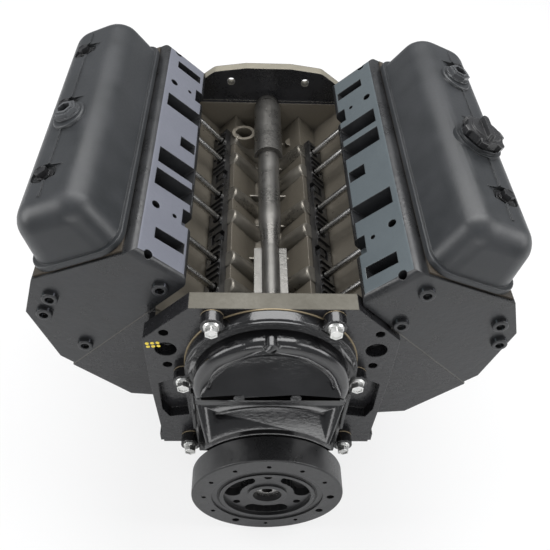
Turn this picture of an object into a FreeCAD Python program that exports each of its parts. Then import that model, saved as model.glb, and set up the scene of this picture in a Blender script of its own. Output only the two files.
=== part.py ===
"""Ninety-degree pushrod V6 long block with a balance shaft, as a parametric document.

The frame: X to the right seen from the front, +Y to the rear, +Z up. The origin is the crankshaft
axis at the bell housing face. Lengths are in millimetres and angles in degrees.
"""
import FreeCAD, Part
import math
import os
import re
import Sketcher

SIZES = {
    # cylinder block
    "block_length": 425, "deck_height": 229.2, "half_vee": 45, "bore": 101.6, "stroke": 88.4,
    "bore_spacing": 111.8, "bank_stagger": 22.4, "bank_middle": -217.8, "bank_length": 375,
    "deck_outer": 72, "bank_foot": 150, "rail_half": 125, "rail_thick": 14, "case_radius": 84,
    "plate_thick": 20, "plate_half": 126, "bell_thick": 14, "wall_half": 79.3, "web_thick": 24,
    "main_bore": 34, "cap_half": 56, "cap_depth": 50, "cam_height": 114.8, "cam_tunnel": 26,
    "balance_height": 196, "balance_bore": 20, "valley_floor": 150, "valley_inner": 66,
    "lifter_top": 160, "lifter_radius": 10.7, "lifter_length": 55, "bore_foot": 80,
    "port_half": 104.7, "port_height": 182, "port_radius": 11, "port_bolt_gap": 26, "port_bolt": 4.8,
    # crankshaft and pistons
    "rod_length": 144.8, "main_radius": 31.1, "pin_radius": 28.6, "pin_width": 20, "fly_web": 4,
    "web_width": 14, "weight_radius": 76, "crank_phase": 20, "pin_splay": 30, "flange_radius": 46,
    "flange_circle": 76.2, "flange_hole": 5.5, "piston_clear": 0.2, "crown_height": 39.6,
    "skirt_depth": 20, "wrist_radius": 11.8, "wrist_length": 74, "ring_clear": 0.05, "snout": 16,
    # camshaft, balance shaft and timing drive
    "cam_base": 15.5, "cam_lift": 6.4, "cam_journal": 23.7, "cam_core": 12.5, "lobe_width": 13,
    "shell_thick": 1.8, "sprocket_teeth": 21, "chain_pitch": 9.525, "sprocket_width": 7,
    "chain_thick": 4.5, "chain_clear": 0.6, "gear_teeth": 24, "gear_width": 9, "gear_layer": 4,
    "chain_layer": 14, "shaft_radius": 9.5, "weight_shaft": 18, "running": 0.06,
    # timing cover and damper
    "cover_centre": 158, "cover_radius": 87, "cover_depth": 32, "cover_wall": 4, "gasket": 1,
    "cover_foot": 79, "cover_waist": 86, "waist_height": 138, "flange_depth": 13, "bell_radius": 78,
    "bell_centre": 154, "bell_foot": 66, "bell_waist": 78, "damper_radius": 84.8,
    "damper_rear": 40.5, "damper_width": 29, "damper_hub": 53.5, "damper_rubber": 3,
    "damper_bore": 16.05, "damper_circle": 79.4, "damper_hole": 4.2, "seal_radius": 30,
    "sleeve_radius": 22, "rear_seal": 50, "rear_housing": 60,
    # cylinder heads
    "face_foot": 117, "face_top": 113, "face_height": 64, "rail_inner": 104, "rail_rise": 67,
    "valve_angle": 23, "rail_width": 99, "exhaust_edge": 68, "recess_half": 36,
    "recess_depth": 32, "valve_line": -20.5, "valve_sink": 88.3, "valve_offset": 21,
    "intake_disc": 22, "exhaust_disc": 18, "stem_radius": 4.3, "valve_tip": 22,
    "pivot_line": 10.4, "pushrod_line": 31, "pushrod_top": 12.8, "pushrod_radius": 4,
    "head_bolt_row": 58, "head_bolt": 5.3, "column_gap": 111.8,
    # valve covers
    "cover_half": 47, "cover_long": 184, "cover_height": 60, "cover_skin": 3, "cover_round": 26,
    "cover_bolt_gap": 114, "cover_bolt_line": -14.5, "bolt_seat": 55, "fastener_gap": 0.3, "screw_radius": 3.4, "plug_radius": 19,
}

doc = FreeCAD.newDocument("engine")
sheet = doc.addObject("Spreadsheet::Sheet", "Sizes")
for line, (alias, size) in enumerate(SIZES.items(), start=1):
    sheet.set(f"A{line}", alias)
    sheet.set(f"B{line}", str(size))
    sheet.setAlias(f"B{line}", alias)
doc.recompute()

X_AXIS = FreeCAD.Vector(1, 0, 0)
Y_AXIS = FreeCAD.Vector(0, 1, 0)
Z_AXIS = FreeCAD.Vector(0, 0, 1)
ALONG_Y = FreeCAD.Rotation(X_AXIS, -90)
ALONG_X = FreeCAD.Rotation(Y_AXIS, 90)
BANKS = ("left", "right")
nodes = {}


# Helpers

def link(expression):
    """Point each size's name in an expression at its cell."""
    def cell(found):
        word = found.group(0)
        return f"Sizes.{word}" if word in SIZES else word
    return re.sub(r"[a-z_]+", cell, str(expression))


def val(expression):
    """Work out an expression of sizes as a number."""
    result = sheet.evalExpression(link(expression))
    return float(getattr(result, "Value", result))


def bind(thing, name, expression):
    """Give one property its value and keep it tied to the sheet."""
    thing.setExpression(name, link(expression))


def at(x, y, z, turn=None):
    """A placement from three expressions and a rotation."""
    return FreeCAD.Placement(FreeCAD.Vector(val(x), val(y), val(z)), turn or FreeCAD.Rotation())


def solid(kind, name, place, **sizes):
    """A primitive whose sizes are tied to the sheet."""
    thing = doc.addObject(f"Part::{kind}", name)
    for size, expression in sizes.items():
        bind(thing, size, expression)
    thing.Placement = place
    return thing


def box(name, low, high, place=None):
    """A box between two corners, each given as three expressions."""
    spans = [f"({b}) - ({a})" for a, b in zip(low, high)]
    place = (place or FreeCAD.Placement()).multiply(at(*low))
    return solid("Box", name, place, Length=spans[0], Width=spans[1], Height=spans[2])


def rod(name, radius, low, high, x=0, z=0):
    """A cylinder along the engine between two stations."""
    return solid("Cylinder", name, at(x, low, z, ALONG_Y), Radius=radius,
                 Height=f"({high}) - ({low})")


def post(name, radius, length, place):
    """A cylinder along the local Z axis of a placement."""
    return solid("Cylinder", name, place, Radius=radius, Height=length)


def fuse(name, things):
    """One solid from overlapping ones."""
    thing = doc.addObject("Part::MultiFuse", name)
    thing.Shapes = things
    return thing


def cut(name, base, tools):
    """A solid less one or more others."""
    thing = doc.addObject("Part::Cut", name)
    thing.Base = base
    thing.Tool = tools[0] if len(tools) == 1 else fuse(f"{name}_tools", tools)
    return thing


def group(name, things, place=None):
    """Separate solids kept together, at a placement."""
    thing = doc.addObject("Part::Compound", name)
    thing.Links = things
    if place:
        thing.Placement = place
    return thing


def made(name, shape):
    """An object whose shape the script works out itself."""
    thing = doc.addObject("Part::Feature", name)
    thing.Shape = shape
    return thing


def copies(name, form, places):
    """The same piece at several placements."""
    doc.recompute()
    shapes = []
    for place in places:
        shape = form.Shape.copy()
        shape.Placement = place.multiply(form.Placement)
        shapes.append(shape)
    return made(name, Part.makeCompound(shapes))


def prism(name, outline, low, high, rounding=None, place=None):
    """A body padded along Y from an outline of (x, z) expressions."""
    body = doc.addObject("PartDesign::Body", name)
    sketch = body.newObject("Sketcher::SketchObject", f"{name}_outline")
    plane = next(item for item in body.Origin.OriginFeatures if item.Role == "XZ_Plane")
    sketch.AttachmentSupport = [(plane, "")]
    sketch.MapMode = "FlatFace"
    points = [FreeCAD.Vector(val(x), val(z), 0) for x, z in outline]
    count = len(points)
    for index in range(count):
        sketch.addGeometry(Part.LineSegment(points[index], points[(index + 1) % count]), False)
    for index in range(count):
        sketch.addConstraint(Sketcher.Constraint("Coincident", index, 2, (index + 1) % count, 1))
    for index, (x, z) in enumerate(outline):
        for kind, value, expression in (("DistanceX", points[index].x, x), ("DistanceY", points[index].y, z)):
            row = sketch.addConstraint(Sketcher.Constraint(kind, -1, 1, index, 1, value))
            bind(sketch, f"Constraints[{row}]", expression)
    pad = body.newObject("PartDesign::Pad", f"{name}_pad")
    pad.Profile = sketch
    pad.Midplane = True
    bind(pad, "Length", f"({high}) - ({low})")
    body.Placement = (place or FreeCAD.Placement()).multiply(at(0, f"(({high}) + ({low})) / 2", 0))
    if rounding:
        doc.recompute()
        test, radius = rounding
        names = [f"Edge{i}" for i, edge in enumerate(pad.Shape.Edges, start=1) if test(edge)]
        fillet = body.newObject("PartDesign::Fillet", f"{name}_round")
        fillet.Base = (pad, names)
        bind(fillet, "Radius", radius)
    return body


def mirrored(outline):
    """Complete a right-hand outline with its mirror image about X = 0."""
    return outline + [(f"-({x})", z) for x, z in reversed(outline)]


def hull_face(first, first_radius, second, second_radius, station):
    """The face round two circles in the XZ plane, with tangent sides."""
    gap = second.sub(first)
    along = math.atan2(gap.z, gap.x)
    lean = math.acos((first_radius - second_radius) / gap.Length)

    def point(centre, radius, angle):
        return FreeCAD.Vector(centre.x + radius * math.cos(angle), station,
                              centre.z + radius * math.sin(angle))
    a, b = point(first, first_radius, along + lean), point(first, first_radius, along - lean)
    c, e = point(second, second_radius, along - lean), point(second, second_radius, along + lean)
    far, near = point(first, first_radius, along + math.pi), point(second, second_radius, along)
    edges = [Part.Arc(a, far, b).toShape(), Part.LineSegment(b, c).toShape(),
             Part.Arc(c, near, e).toShape(), Part.LineSegment(e, a).toShape()]
    return Part.Face(Part.Wire(edges))


def disc(radius, low, high, x=0.0, z=0.0):
    """A plain cylinder shape along Y."""
    return Part.makeCylinder(radius, high - low, FreeCAD.Vector(x, low, z), Y_AXIS)


def keep(label, thing, place=None):
    """Name a finished sub-part."""
    thing.Label = label
    if place:
        thing.Placement = place
    nodes[label] = thing
    return thing


# Places

def bank_place(side):
    """A bank's own frame: Z up its cylinders, X towards the valley, Y along the engine."""
    if side == "left":
        return at(0, "bank_middle + bank_stagger / 2", 0, FreeCAD.Rotation(Y_AXIS, -val("half_vee")))
    turned = FreeCAD.Rotation(Y_AXIS, val("half_vee")).multiply(FreeCAD.Rotation(Z_AXIS, 180))
    return at(0, "bank_middle - bank_stagger / 2", 0, turned)


def rail_place(side=None):
    """The frame of a head's cover rail, square to the valves, in its bank or in the engine."""
    lean = "valve_angle"
    x = f"rail_inner - rail_width / 2 * cos({lean})"
    z = f"deck_height + gasket + rail_rise + rail_width / 2 * sin({lean})"
    rail = at(x, 0, z, FreeCAD.Rotation(Y_AXIS, val(lean)))
    return bank_place(side).multiply(rail) if side else rail


CYLINDER_LINES = ("bore_spacing", "0", "-bore_spacing")
VALVE_LINES = [(f"{line} - valve_offset", True) for line in CYLINDER_LINES[:2]]
VALVE_LINES += [(f"{CYLINDER_LINES[2]} + valve_offset", True)]
VALVE_LINES += [(f"{line} + valve_offset", False) for line in CYLINDER_LINES[:2]]
VALVE_LINES += [(f"{CYLINDER_LINES[2]} - valve_offset", False)]
THROWS = [f"bank_middle + {step} * bore_spacing" for step in (1, 0, -1)]
MAINS = [f"bank_middle + {step} * bore_spacing" for step in (1.5, 0.5, -0.5, -1.5)]
FRONT = "-block_length"
HEAD_FOOT = "deck_height + gasket"
HEAD_BOLT_COLUMNS = [f"{step} * column_gap" for step in (-1.5, -0.5, 0.5, 1.5)]
COVER_BOLTS = ["cover_bolt_gap", "0", "-cover_bolt_gap"]
LIFTER_FOOT = "cam_height * cos(half_vee) + cam_base + cam_lift + fastener_gap"
PUSHROD_FOOT = ("cam_height * sin(half_vee)", f"{LIFTER_FOOT} + fastener_gap + lifter_length")


BELL_HOLES = [(sign * x, z) for sign in (-1, 1) for x, z in ((50, 232), (104, 208), (152, 128), (168, 66), (140, 24))]
COVER_SCREWS = [(sign * x, z) for sign in (-1, 1) for x, z in ((57.5, 233), (88.5, 143), (88.5, 13.5))]


def local(side, x, y, z, turn=None):
    """A placement in a bank's own frame."""
    return bank_place(side).multiply(at(x, y, z, turn))


# Cylinder block

def deck_point(x):
    """A point of the right-hand deck line in the engine's section, from its place across the bank."""
    return (f"(deck_height - ({x})) * sin(half_vee)", f"(deck_height + ({x})) * cos(half_vee)")


def block_body():
    """The outside of the casting: crankcase, banks, front plate and bell housing flange."""
    rail = [("rail_half", "0"), ("rail_half", "rail_thick")]
    case = prism("case_body", mirrored(rail + [("rail_half - 18", "rail_thick + 8"), ("rail_half - 18", "60"),
                                              ("plate_half - 2", "90"), deck_point("valley_inner - 8")]),
                 f"{FRONT} + 2", "-2")
    plate_outline = [("rail_half - 4", "0"), ("rail_half - 4", "rail_thick"), ("plate_half", "125"),
                     ("plate_half", "2 * deck_height * cos(half_vee) - plate_half"),
                     ("wall_half", "2 * deck_height * cos(half_vee) - wall_half")]
    front = prism("front_plate", mirrored(plate_outline), FRONT, f"{FRONT} + plate_thick")
    bell = prism("bell_flange", mirrored([
        ("rail_half", "0"), ("rail_half + 38", "12"), ("rail_half + 62", "70"), ("rail_half + 46", "148"),
        ("rail_half - 8", "212"), ("72", "246"), ("30", "252")]), "-bell_thick", "0",
        (lambda edge: abs(edge.tangentAt(edge.FirstParameter).y) > 0.9 and edge.Vertexes[0].Z > 1, 14))
    banks = []
    for side in BANKS:
        outline = [("-deck_outer", "bank_foot"), ("-deck_outer", "deck_height"),
                   ("valley_inner", "deck_height"), ("valley_inner", "bore_foot"), ("0", "bore_foot - 20")]
        banks.append(prism(f"{side}_bank", outline, "-bank_length / 2", "bank_length / 2",
                           place=bank_place(side)))
    return [case, front, bell] + banks


def block_bosses():
    """Bosses that stand in the valley."""
    return [post("distributor_boss", "16", "39.5", at(-32, -66, 147)),
            post("sensor_boss", "9", "22", at(34, -60, 146))]


def valley_space():
    """The open trough between the banks, between the front and rear walls."""
    floor = [("wall_half", "260"), deck_point("valley_inner"),
             ("(lifter_top - valley_inner) * sin(half_vee)", "(lifter_top + valley_inner) * cos(half_vee)"),
             ("(lifter_top - 98) * sin(half_vee)", "(lifter_top + 98) * cos(half_vee)"),
             ("16", "valley_floor")]
    return prism("valley", mirrored(floor), f"{FRONT} + plate_thick + 2", "-bell_thick - 6")


def block_cavities():
    """Everything bored, milled or cored out of the casting."""
    tools = []
    tools.append(rod("cam_tunnel_bore", "cam_tunnel", f"{FRONT} - 1", "-bell_thick", 0, "cam_height"))
    tools.append(rod("balance_front_bore", "balance_bore", f"{FRONT} - 1", f"{FRONT} + plate_thick + 8",
                     0, "balance_height"))
    tools.append(rod("balance_rear_bore", "balance_bore - 4", "-bell_thick - 8", "-4", 0, "balance_height"))
    tools.append(rod("main_line_bore", "main_bore", f"{FRONT} - 1", "1"))
    for index, throw in enumerate(THROWS):
        reach = "(bore_spacing - web_thick) / 2"
        tools.append(rod(f"crank_space_{index}", "case_radius", f"{throw} - {reach}", f"{throw} + {reach}"))
        tools.append(box(f"sump_mouth_{index}", ("-(rail_half - 24)", f"{throw} - {reach}", "-1"),
                         ("rail_half - 24", f"{throw} + {reach}", "30")))
    tools.append(rod("rear_recess", "rear_housing", "-13", "1"))
    tools.append(post("distributor_hole", "11", "90", at(-32, -66, 104)))
    for x, z in COVER_SCREWS:
        tools.append(rod("cover_screw_hole", "screw_radius + 0.2", f"{FRONT} - 1", f"{FRONT} + 16", x, z))
    for x, z in BELL_HOLES:
        tools.append(rod("bell_hole", "5.5", "-bell_thick - 1", "1", x, z))
    for side in BANKS:
        for column in ("-column_gap / 2", "column_gap / 2"):
            tools.append(post(f"{side}_plug_hole", "plug_radius + fastener_gap", "6",
                              local(side, "-deck_outer + 5", column, "190", ALONG_X.inverted())))
        for index, line in enumerate(CYLINDER_LINES):
            tools.append(post(f"{side}_bore_{index}", "bore / 2", "deck_height",
                              local(side, 0, line, "bore_foot")))
        for index, (line, _) in enumerate(VALVE_LINES):
            tools.append(post(f"{side}_lifter_bore_{index}", "lifter_radius + running", "lifter_top - 80",
                              local(side, PUSHROD_FOOT[0], line, "84")))
        for row in ("-head_bolt_row + 6", "head_bolt_row"):
            for column in HEAD_BOLT_COLUMNS:
                tools.append(post(f"{side}_head_bolt_hole", "head_bolt + fastener_gap", "46",
                                  local(side, row, column, "deck_height - 44")))
        sign = -1 if side == "left" else 1
        port = f"{sign} * port_half"
        tools.append(rod(f"{side}_water_port", "port_radius", f"{FRONT} - 1", f"{FRONT} + 14", port, "port_height"))
        for rise in ("-port_bolt_gap", "port_bolt_gap"):
            tools.append(rod(f"{side}_pump_hole", "port_bolt", f"{FRONT} - 1", f"{FRONT} + 16", port,
                             f"port_height + {rise}"))
        pocket = [(f"{sign} * (plate_half - 9)", "72"), (f"{sign} * (plate_half - 9)", "122"),
                  (f"{sign} * 90", "138"), (f"{sign} * 88", "60"), (f"{sign} * (plate_half - 16)", "56")]
        tools.append(prism(f"{side}_plate_pocket", pocket, f"{FRONT} - 1", f"{FRONT} + 12"))
    return tools


def cylinder_block():
    """The finished casting."""
    body = cut("block_valley", fuse("block_casting", block_body()), [valley_space()])
    body = fuse("block_bossed", [body] + block_bosses())
    keep("cylinder_block", cut("cylinder_block_cut", body, block_cavities()))
    plugs = []
    for side in BANKS:
        for column in ("-column_gap / 2", "column_gap / 2"):
            plugs.append(post("core_plug", "plug_radius", "3",
                              local(side, "-deck_outer + 5", column, "190", ALONG_X.inverted())))
    keep("core_plugs", group("core_plug_set", plugs))


def main_bearings():
    """Main bearing caps, their bolts and the bearing shells."""
    caps, bolts, shells = [], [], []
    for index, main in enumerate(MAINS):
        low, high = f"{main} - web_thick / 2 + 1", f"{main} + web_thick / 2 - 1"
        blank = box(f"cap_blank_{index}", ("-cap_half", low, "-cap_depth"), ("cap_half", high, "0"))
        tools = [rod(f"cap_bore_{index}", "main_bore", f"{low} - 1", f"{high} + 1")]
        for x in ("-cap_half + 12", "cap_half - 12"):
            tools.append(post(f"cap_hole_{index}", "head_bolt + fastener_gap", "cap_depth + 2",
                              at(x, main, "-cap_depth - 1")))
            head = solid("Prism", f"cap_head_{index}", at(x, main, "-cap_depth - 9"), Circumradius="10",
                         Height="9")
            shank = post(f"cap_shank_{index}", "head_bolt", "cap_depth + 1", at(x, main, "-cap_depth - 1"))
            bolts.append(fuse(f"cap_bolt_{index}", [head, shank]))
        caps.append(cut(f"cap_{index}", blank, tools))
        outer = rod(f"shell_outer_{index}", "main_bore", low, high)
        inner = rod(f"shell_inner_{index}", "main_radius + running", f"{low} - 1", f"{high} + 1")
        shells.append(cut(f"shell_{index}", outer, [inner]))
    keep("main_bearing_caps", group("caps", caps))
    keep("main_cap_bolts", group("cap_bolts", bolts))
    keep("main_bearing_shells", group("shells", shells))


def rear_seal():
    """The housing and seal round the crankshaft flange."""
    drum = rod("housing_drum", "rear_housing - fastener_gap", "-12", "-1")
    foot = box("housing_foot", ("-rear_housing - 8", "-12", "-rear_housing - 6"), ("rear_housing + 8", "-1", "0"))
    mouth = rod("housing_mouth", "rear_seal", "-13", "0")
    keep("rear_seal_housing", cut("rear_housing_cut", fuse("rear_housing_solid", [drum, foot]), [mouth]))
    keep("rear_main_seal", cut("rear_seal_cut", rod("rear_seal_outer", "rear_seal", "-11", "-2"),
                               [rod("rear_seal_inner", "flange_radius + fastener_gap", "-13", "0")]))


def cam_bearings():
    """The bushes that carry the camshaft in the block's webs."""
    bushes = []
    for index, main in enumerate(MAINS):
        low, high = f"{main} - 9", f"{main} + 9"
        outer = rod(f"bush_outer_{index}", "cam_tunnel", low, high, 0, "cam_height")
        inner = rod(f"bush_inner_{index}", "cam_journal + running", f"{low} - 1", f"{high} + 1", 0, "cam_height")
        bushes.append(cut(f"bush_{index}", outer, [inner]))
    keep("camshaft_bearings", group("cam_bushes", bushes))


# Crankshaft, pistons and damper

def crank_point(angle, reach):
    """A point round the crankshaft, its angle taken from +Z towards +X."""
    return FreeCAD.Vector(reach * math.sin(math.radians(angle)), 0, reach * math.cos(math.radians(angle)))


def throw_angles(index):
    """The angles of a throw's right-hand and left-hand pins."""
    middle = val("crank_phase") + index * 120
    half = val("pin_splay") / 2
    return middle - half, middle + half


def crankshaft():
    """Four main journals, three split throws with counterweights, flange and snout."""
    reach = val("stroke / 2")
    pin, main, width = val("pin_radius"), val("main_radius"), val("pin_width")
    fly, web = val("fly_web"), val("web_width")
    centre = FreeCAD.Vector(0, 0, 0)
    shapes = []
    for index, throw in enumerate(THROWS):
        middle = val(throw)
        right, left = throw_angles(index)
        parts = ((right, middle - fly / 2 - width, middle - fly / 2 - width - web),
                 (left, middle + fly / 2, middle + fly / 2 + width))
        for angle, station, cheek in parts:
            spot = crank_point(angle, reach)
            shapes.append(disc(pin, station, station + width, spot.x, spot.z))
            cheek_face = hull_face(centre, main + 8, spot, pin + 6, cheek)
            shapes.append(cheek_face.extrude(FreeCAD.Vector(0, web, 0)))
            heavy = Part.makeCylinder(val("weight_radius"), web, FreeCAD.Vector(0, cheek, 0), Y_AXIS, 130)
            heavy.rotate(centre, Y_AXIS, angle + 180 - 65)
            shapes.append(heavy)
        first, second = crank_point(right, reach), crank_point(left, reach)
        link_face = hull_face(first, pin, second, pin - 0.5, middle - fly / 2)
        shapes.append(link_face.extrude(FreeCAD.Vector(0, fly, 0)))
    half = val("pin_width + fly_web / 2 + web_width")
    stations = [val(FRONT) + 2, val(THROWS[2]) - half, val(THROWS[2]) + half, val(THROWS[1]) - half,
                val(THROWS[1]) + half, val(THROWS[0]) - half, val(THROWS[0]) + half, -12]
    for low, high in zip(stations[::2], stations[1::2]):
        shapes.append(disc(main, low, high))
    shapes.append(disc(val("main_radius + 1.6"), -20, -12))
    shapes.append(disc(val("flange_radius"), -12, 0))
    shapes.append(disc(val("snout"), val(FRONT) - val("damper_rear + damper_width") + 8, val(FRONT) + 2))
    shaft = shapes[0].multiFuse(shapes[1:])
    holes = [disc(9, -30, 1), disc(6, val(FRONT) - 80, val(FRONT) - 30)]
    for step in range(6):
        spot = crank_point(step * 60 + 30, val("flange_circle / 2"))
        holes.append(disc(val("flange_hole"), -13, 1, spot.x, spot.z))
    keep("crankshaft", made("crank", shaft.cut(holes)))


def piston_travel(index, side):
    """How far a piston's pin stands from the crankshaft, up its cylinder."""
    right, left = throw_angles(index)
    angle = math.radians(left + val("half_vee")) if side == "left" else math.radians(right - val("half_vee"))
    reach = val("stroke / 2")
    return reach * math.cos(angle) + math.sqrt(val("rod_length") ** 2 - (reach * math.sin(angle)) ** 2)


def piston_form():
    """One piston about its pin: grooved crown, slipper skirt and pin bore."""
    radius = "bore / 2 - piston_clear"
    crown = post("piston_blank", radius, "crown_height + skirt_depth", at(0, 0, "-skirt_depth"))
    under = "-skirt_depth - 1"
    tools = [box("rod_room", ("-bore / 2 + 9", "-14", under), ("bore / 2 - 9", "14", "crown_height - 12"))]
    for x in (-1, 1):
        for y in (-1, 1):
            low = (min(x * 20, x * 40), min(y * 13, y * 27), under)
            tools.append(box("side_room", low, (max(x * 20, x * 40), max(y * 13, y * 27), "crown_height - 24")))
    for step, depth in enumerate(("8", "14", "20")):
        outer = post(f"groove_outer_{step}", "bore", "2", at(0, 0, f"crown_height - {depth}"))
        inner = post(f"groove_inner_{step}", "bore / 2 - 4.5", "4", at(0, 0, f"crown_height - {depth} - 1"))
        tools.append(cut(f"groove_{step}", outer, [inner]))
    for sign in (-1, 1):
        low, high = sorted((sign * 36, sign * 60))
        tools.append(box(f"skirt_relief_{sign + 1}", ("-60", low, "-skirt_depth - 1"), ("60", high, "14")))
    tools.append(rod("pin_bore", "wrist_radius + running", -60, 60))
    return cut("piston_form", crown, tools)


def pistons():
    """Six pistons, each with its wrist pin and rings."""
    form = piston_form()
    pin = cut("wrist_form", rod("wrist_outer", "wrist_radius", "-wrist_length / 2", "wrist_length / 2"),
              [rod("wrist_inner", "wrist_radius - 4", -60, 60)])
    rings = []
    for step, depth in enumerate(("8", "14", "20")):
        outer = post(f"ring_outer_{step}", "bore / 2 - ring_clear", "1.6", at(0, 0, f"crown_height - {depth} + 0.2"))
        inner = post(f"ring_inner_{step}", "bore / 2 - 4.4", "4", at(0, 0, f"crown_height - {depth} - 1"))
        rings.append(cut(f"ring_{step}", outer, [inner]))
    ring_set = group("ring_form", rings + [pin])
    number = 0
    for index in range(len(THROWS)):
        for side in BANKS:
            number += 1
            line = CYLINDER_LINES[index] if side == "left" else f"-({CYLINDER_LINES[index]})"
            place = local(side, 0, line, piston_travel(index, side))
            keep(f"piston_{number}", copies(f"piston_at_{number}", form, [place]))
            keep(f"pin_and_rings_{number}", copies(f"rings_at_{number}", ring_set, [place]))


def damper():
    """Vibration damper: inertia ring, rubber and windowed hub."""
    rear = f"{FRONT} - damper_rear"
    front = f"{rear} - damper_width"
    ring_blank = rod("ring_blank", "damper_radius", front, rear)
    tools = [rod("ring_mouth", "damper_hub + damper_rubber", f"{front} - 1", f"{rear} + 1")]
    for step in range(12):
        spot = crank_point(step * 30, 71)
        radius = "4.4" if step in (3, 4, 7) else "2.6"
        tools.append(rod(f"balance_hole_{step}", radius, f"{front} - 1", f"{front} + 10", spot.x, spot.z))
    keep("damper_ring", cut("damper_ring_cut", ring_blank, tools))
    rubber = rod("rubber_blank", "damper_hub + damper_rubber", f"{front} + 1.5", f"{rear} - 1.5")
    keep("damper_rubber", cut("damper_rubber_cut", rubber,
                              [rod("rubber_mouth", "damper_hub", f"{front} - 1", f"{rear} + 1")]))
    disc_part = rod("hub_disc", "damper_hub", f"{front} + 3", f"{front} + 15")
    rim = cut("hub_rim", rod("rim_outer", "damper_hub", front, rear),
              [rod("rim_inner", "damper_hub - 5", f"{front} - 1", f"{rear} + 1")])
    sleeve = rod("hub_sleeve", "sleeve_radius", f"{front} + 3", f"{FRONT} - cover_depth + 9")
    tools = [rod("hub_bore", "damper_bore", f"{front} - 1", f"{FRONT}")]
    for step in range(3):
        spot = crank_point(step * 120, val("damper_circle / 2"))
        tools.append(rod(f"pulley_hole_{step}", "damper_hole", f"{front} - 1", f"{rear}", spot.x, spot.z))
        middle = step * 120 + 60
        for lean in (-18, 0, 18):
            spot = crank_point(middle + lean, 38)
            tools.append(rod(f"window_{step}", "8.5", f"{front} - 1", f"{rear}", spot.x, spot.z))
    keep("damper_hub", cut("damper_hub_cut", fuse("hub_solid", [disc_part, rim, sleeve]), tools))


# Camshaft, balance shaft and timing drive

def toothed(teeth, radius, tip, root, low, high, bore, centre, first_angle, share=0.2):
    """A gear or sprocket along Y: straight-sided teeth about a centre in the XZ plane."""
    step = 360 / teeth
    points = []
    for tooth in range(teeth):
        angle = first_angle + tooth * step
        for lean, reach in ((-share * 1.45, root), (-share * 0.55, tip), (share * 0.55, tip), (share * 1.45, root)):
            spot = crank_point(angle + lean * step, reach)
            points.append(FreeCAD.Vector(spot.x, low, spot.z + centre))
    face = Part.Face(Part.makePolygon(points + points[:1]))
    blank = face.extrude(FreeCAD.Vector(0, high - low, 0))
    return blank.cut(disc(bore, low - 1, high + 1, 0, centre))


def sprocket_radius(share=1):
    """Pitch radius of the crank sprocket, or of one with that many times its teeth."""
    teeth = val("sprocket_teeth") * share
    return val("chain_pitch") / (2 * math.sin(math.pi / teeth))


def timing_drive():
    """Crank and cam sprockets, the chain, and the pair of balance gears."""
    chain_low = val(FRONT) - val("chain_layer") - val("sprocket_width")
    chain_high = val(FRONT) - val("chain_layer")
    cam_z = val("cam_height")
    teeth = int(val("sprocket_teeth"))
    for label, share, bore, centre in (("crank_sprocket", 1, "snout + running", 0),
                                       ("cam_sprocket", 2, "cam_core", cam_z)):
        radius = sprocket_radius(share)
        keep(label, made(f"{label}_form", toothed(teeth * share, radius, radius + 2.4, radius - 3, chain_low,
                                                  chain_high, val(bore), centre, 0)))
    small, large = sprocket_radius(1) + 2.4, sprocket_radius(2) + 2.4
    clear, thick = val("chain_clear"), val("chain_thick")
    low, high = FreeCAD.Vector(0, 0, 0), FreeCAD.Vector(0, 0, cam_z)
    outer = hull_face(low, small + clear + thick, high, large + clear + thick, chain_low + 0.5)
    inner = hull_face(low, small + clear, high, large + clear, chain_low + 0.5)
    loop = outer.cut(inner).extrude(FreeCAD.Vector(0, val("sprocket_width") - 1, 0))
    keep("timing_chain", made("timing_chain_form", loop))
    gear_teeth = int(val("gear_teeth"))
    gap = val("balance_height") - cam_z
    module = 2 * gap / (3 * gear_teeth)
    gear_high = val(FRONT) - val("gear_layer")
    gear_low = gear_high - val("gear_width")
    drive, driven = module * gear_teeth, module * gear_teeth / 2
    keep("balance_drive_gear", made("drive_gear_form", toothed(
        2 * gear_teeth, drive, drive + 0.9 * module, drive - 1.2 * module, gear_low, gear_high,
        val("cam_core"), cam_z, 0)))
    keep("balance_driven_gear", made("driven_gear_form", toothed(
        gear_teeth, driven, driven + 0.9 * module, driven - 1.2 * module, gear_low, gear_high,
        val("shaft_radius"), val("balance_height"), 180 + 180 / gear_teeth)))


def end_bolt(label, station, washer, height):
    """A bolt and washer on the front end of a shaft."""
    shape = disc(washer, station - 1.6, station, 0, height)
    shape = shape.fuse(disc(4.8, station - 2, station + 24, 0, height))
    corners = [FreeCAD.Vector(spot.x, station - 5.4, spot.z + height)
               for spot in (crank_point(step * 60, 9.5) for step in range(7))]
    hexagon = Part.Face(Part.makePolygon(corners)).extrude(FreeCAD.Vector(0, 4, 0))
    keep(label, made(f"{label}_form", shape.fuse(hexagon)))


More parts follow.
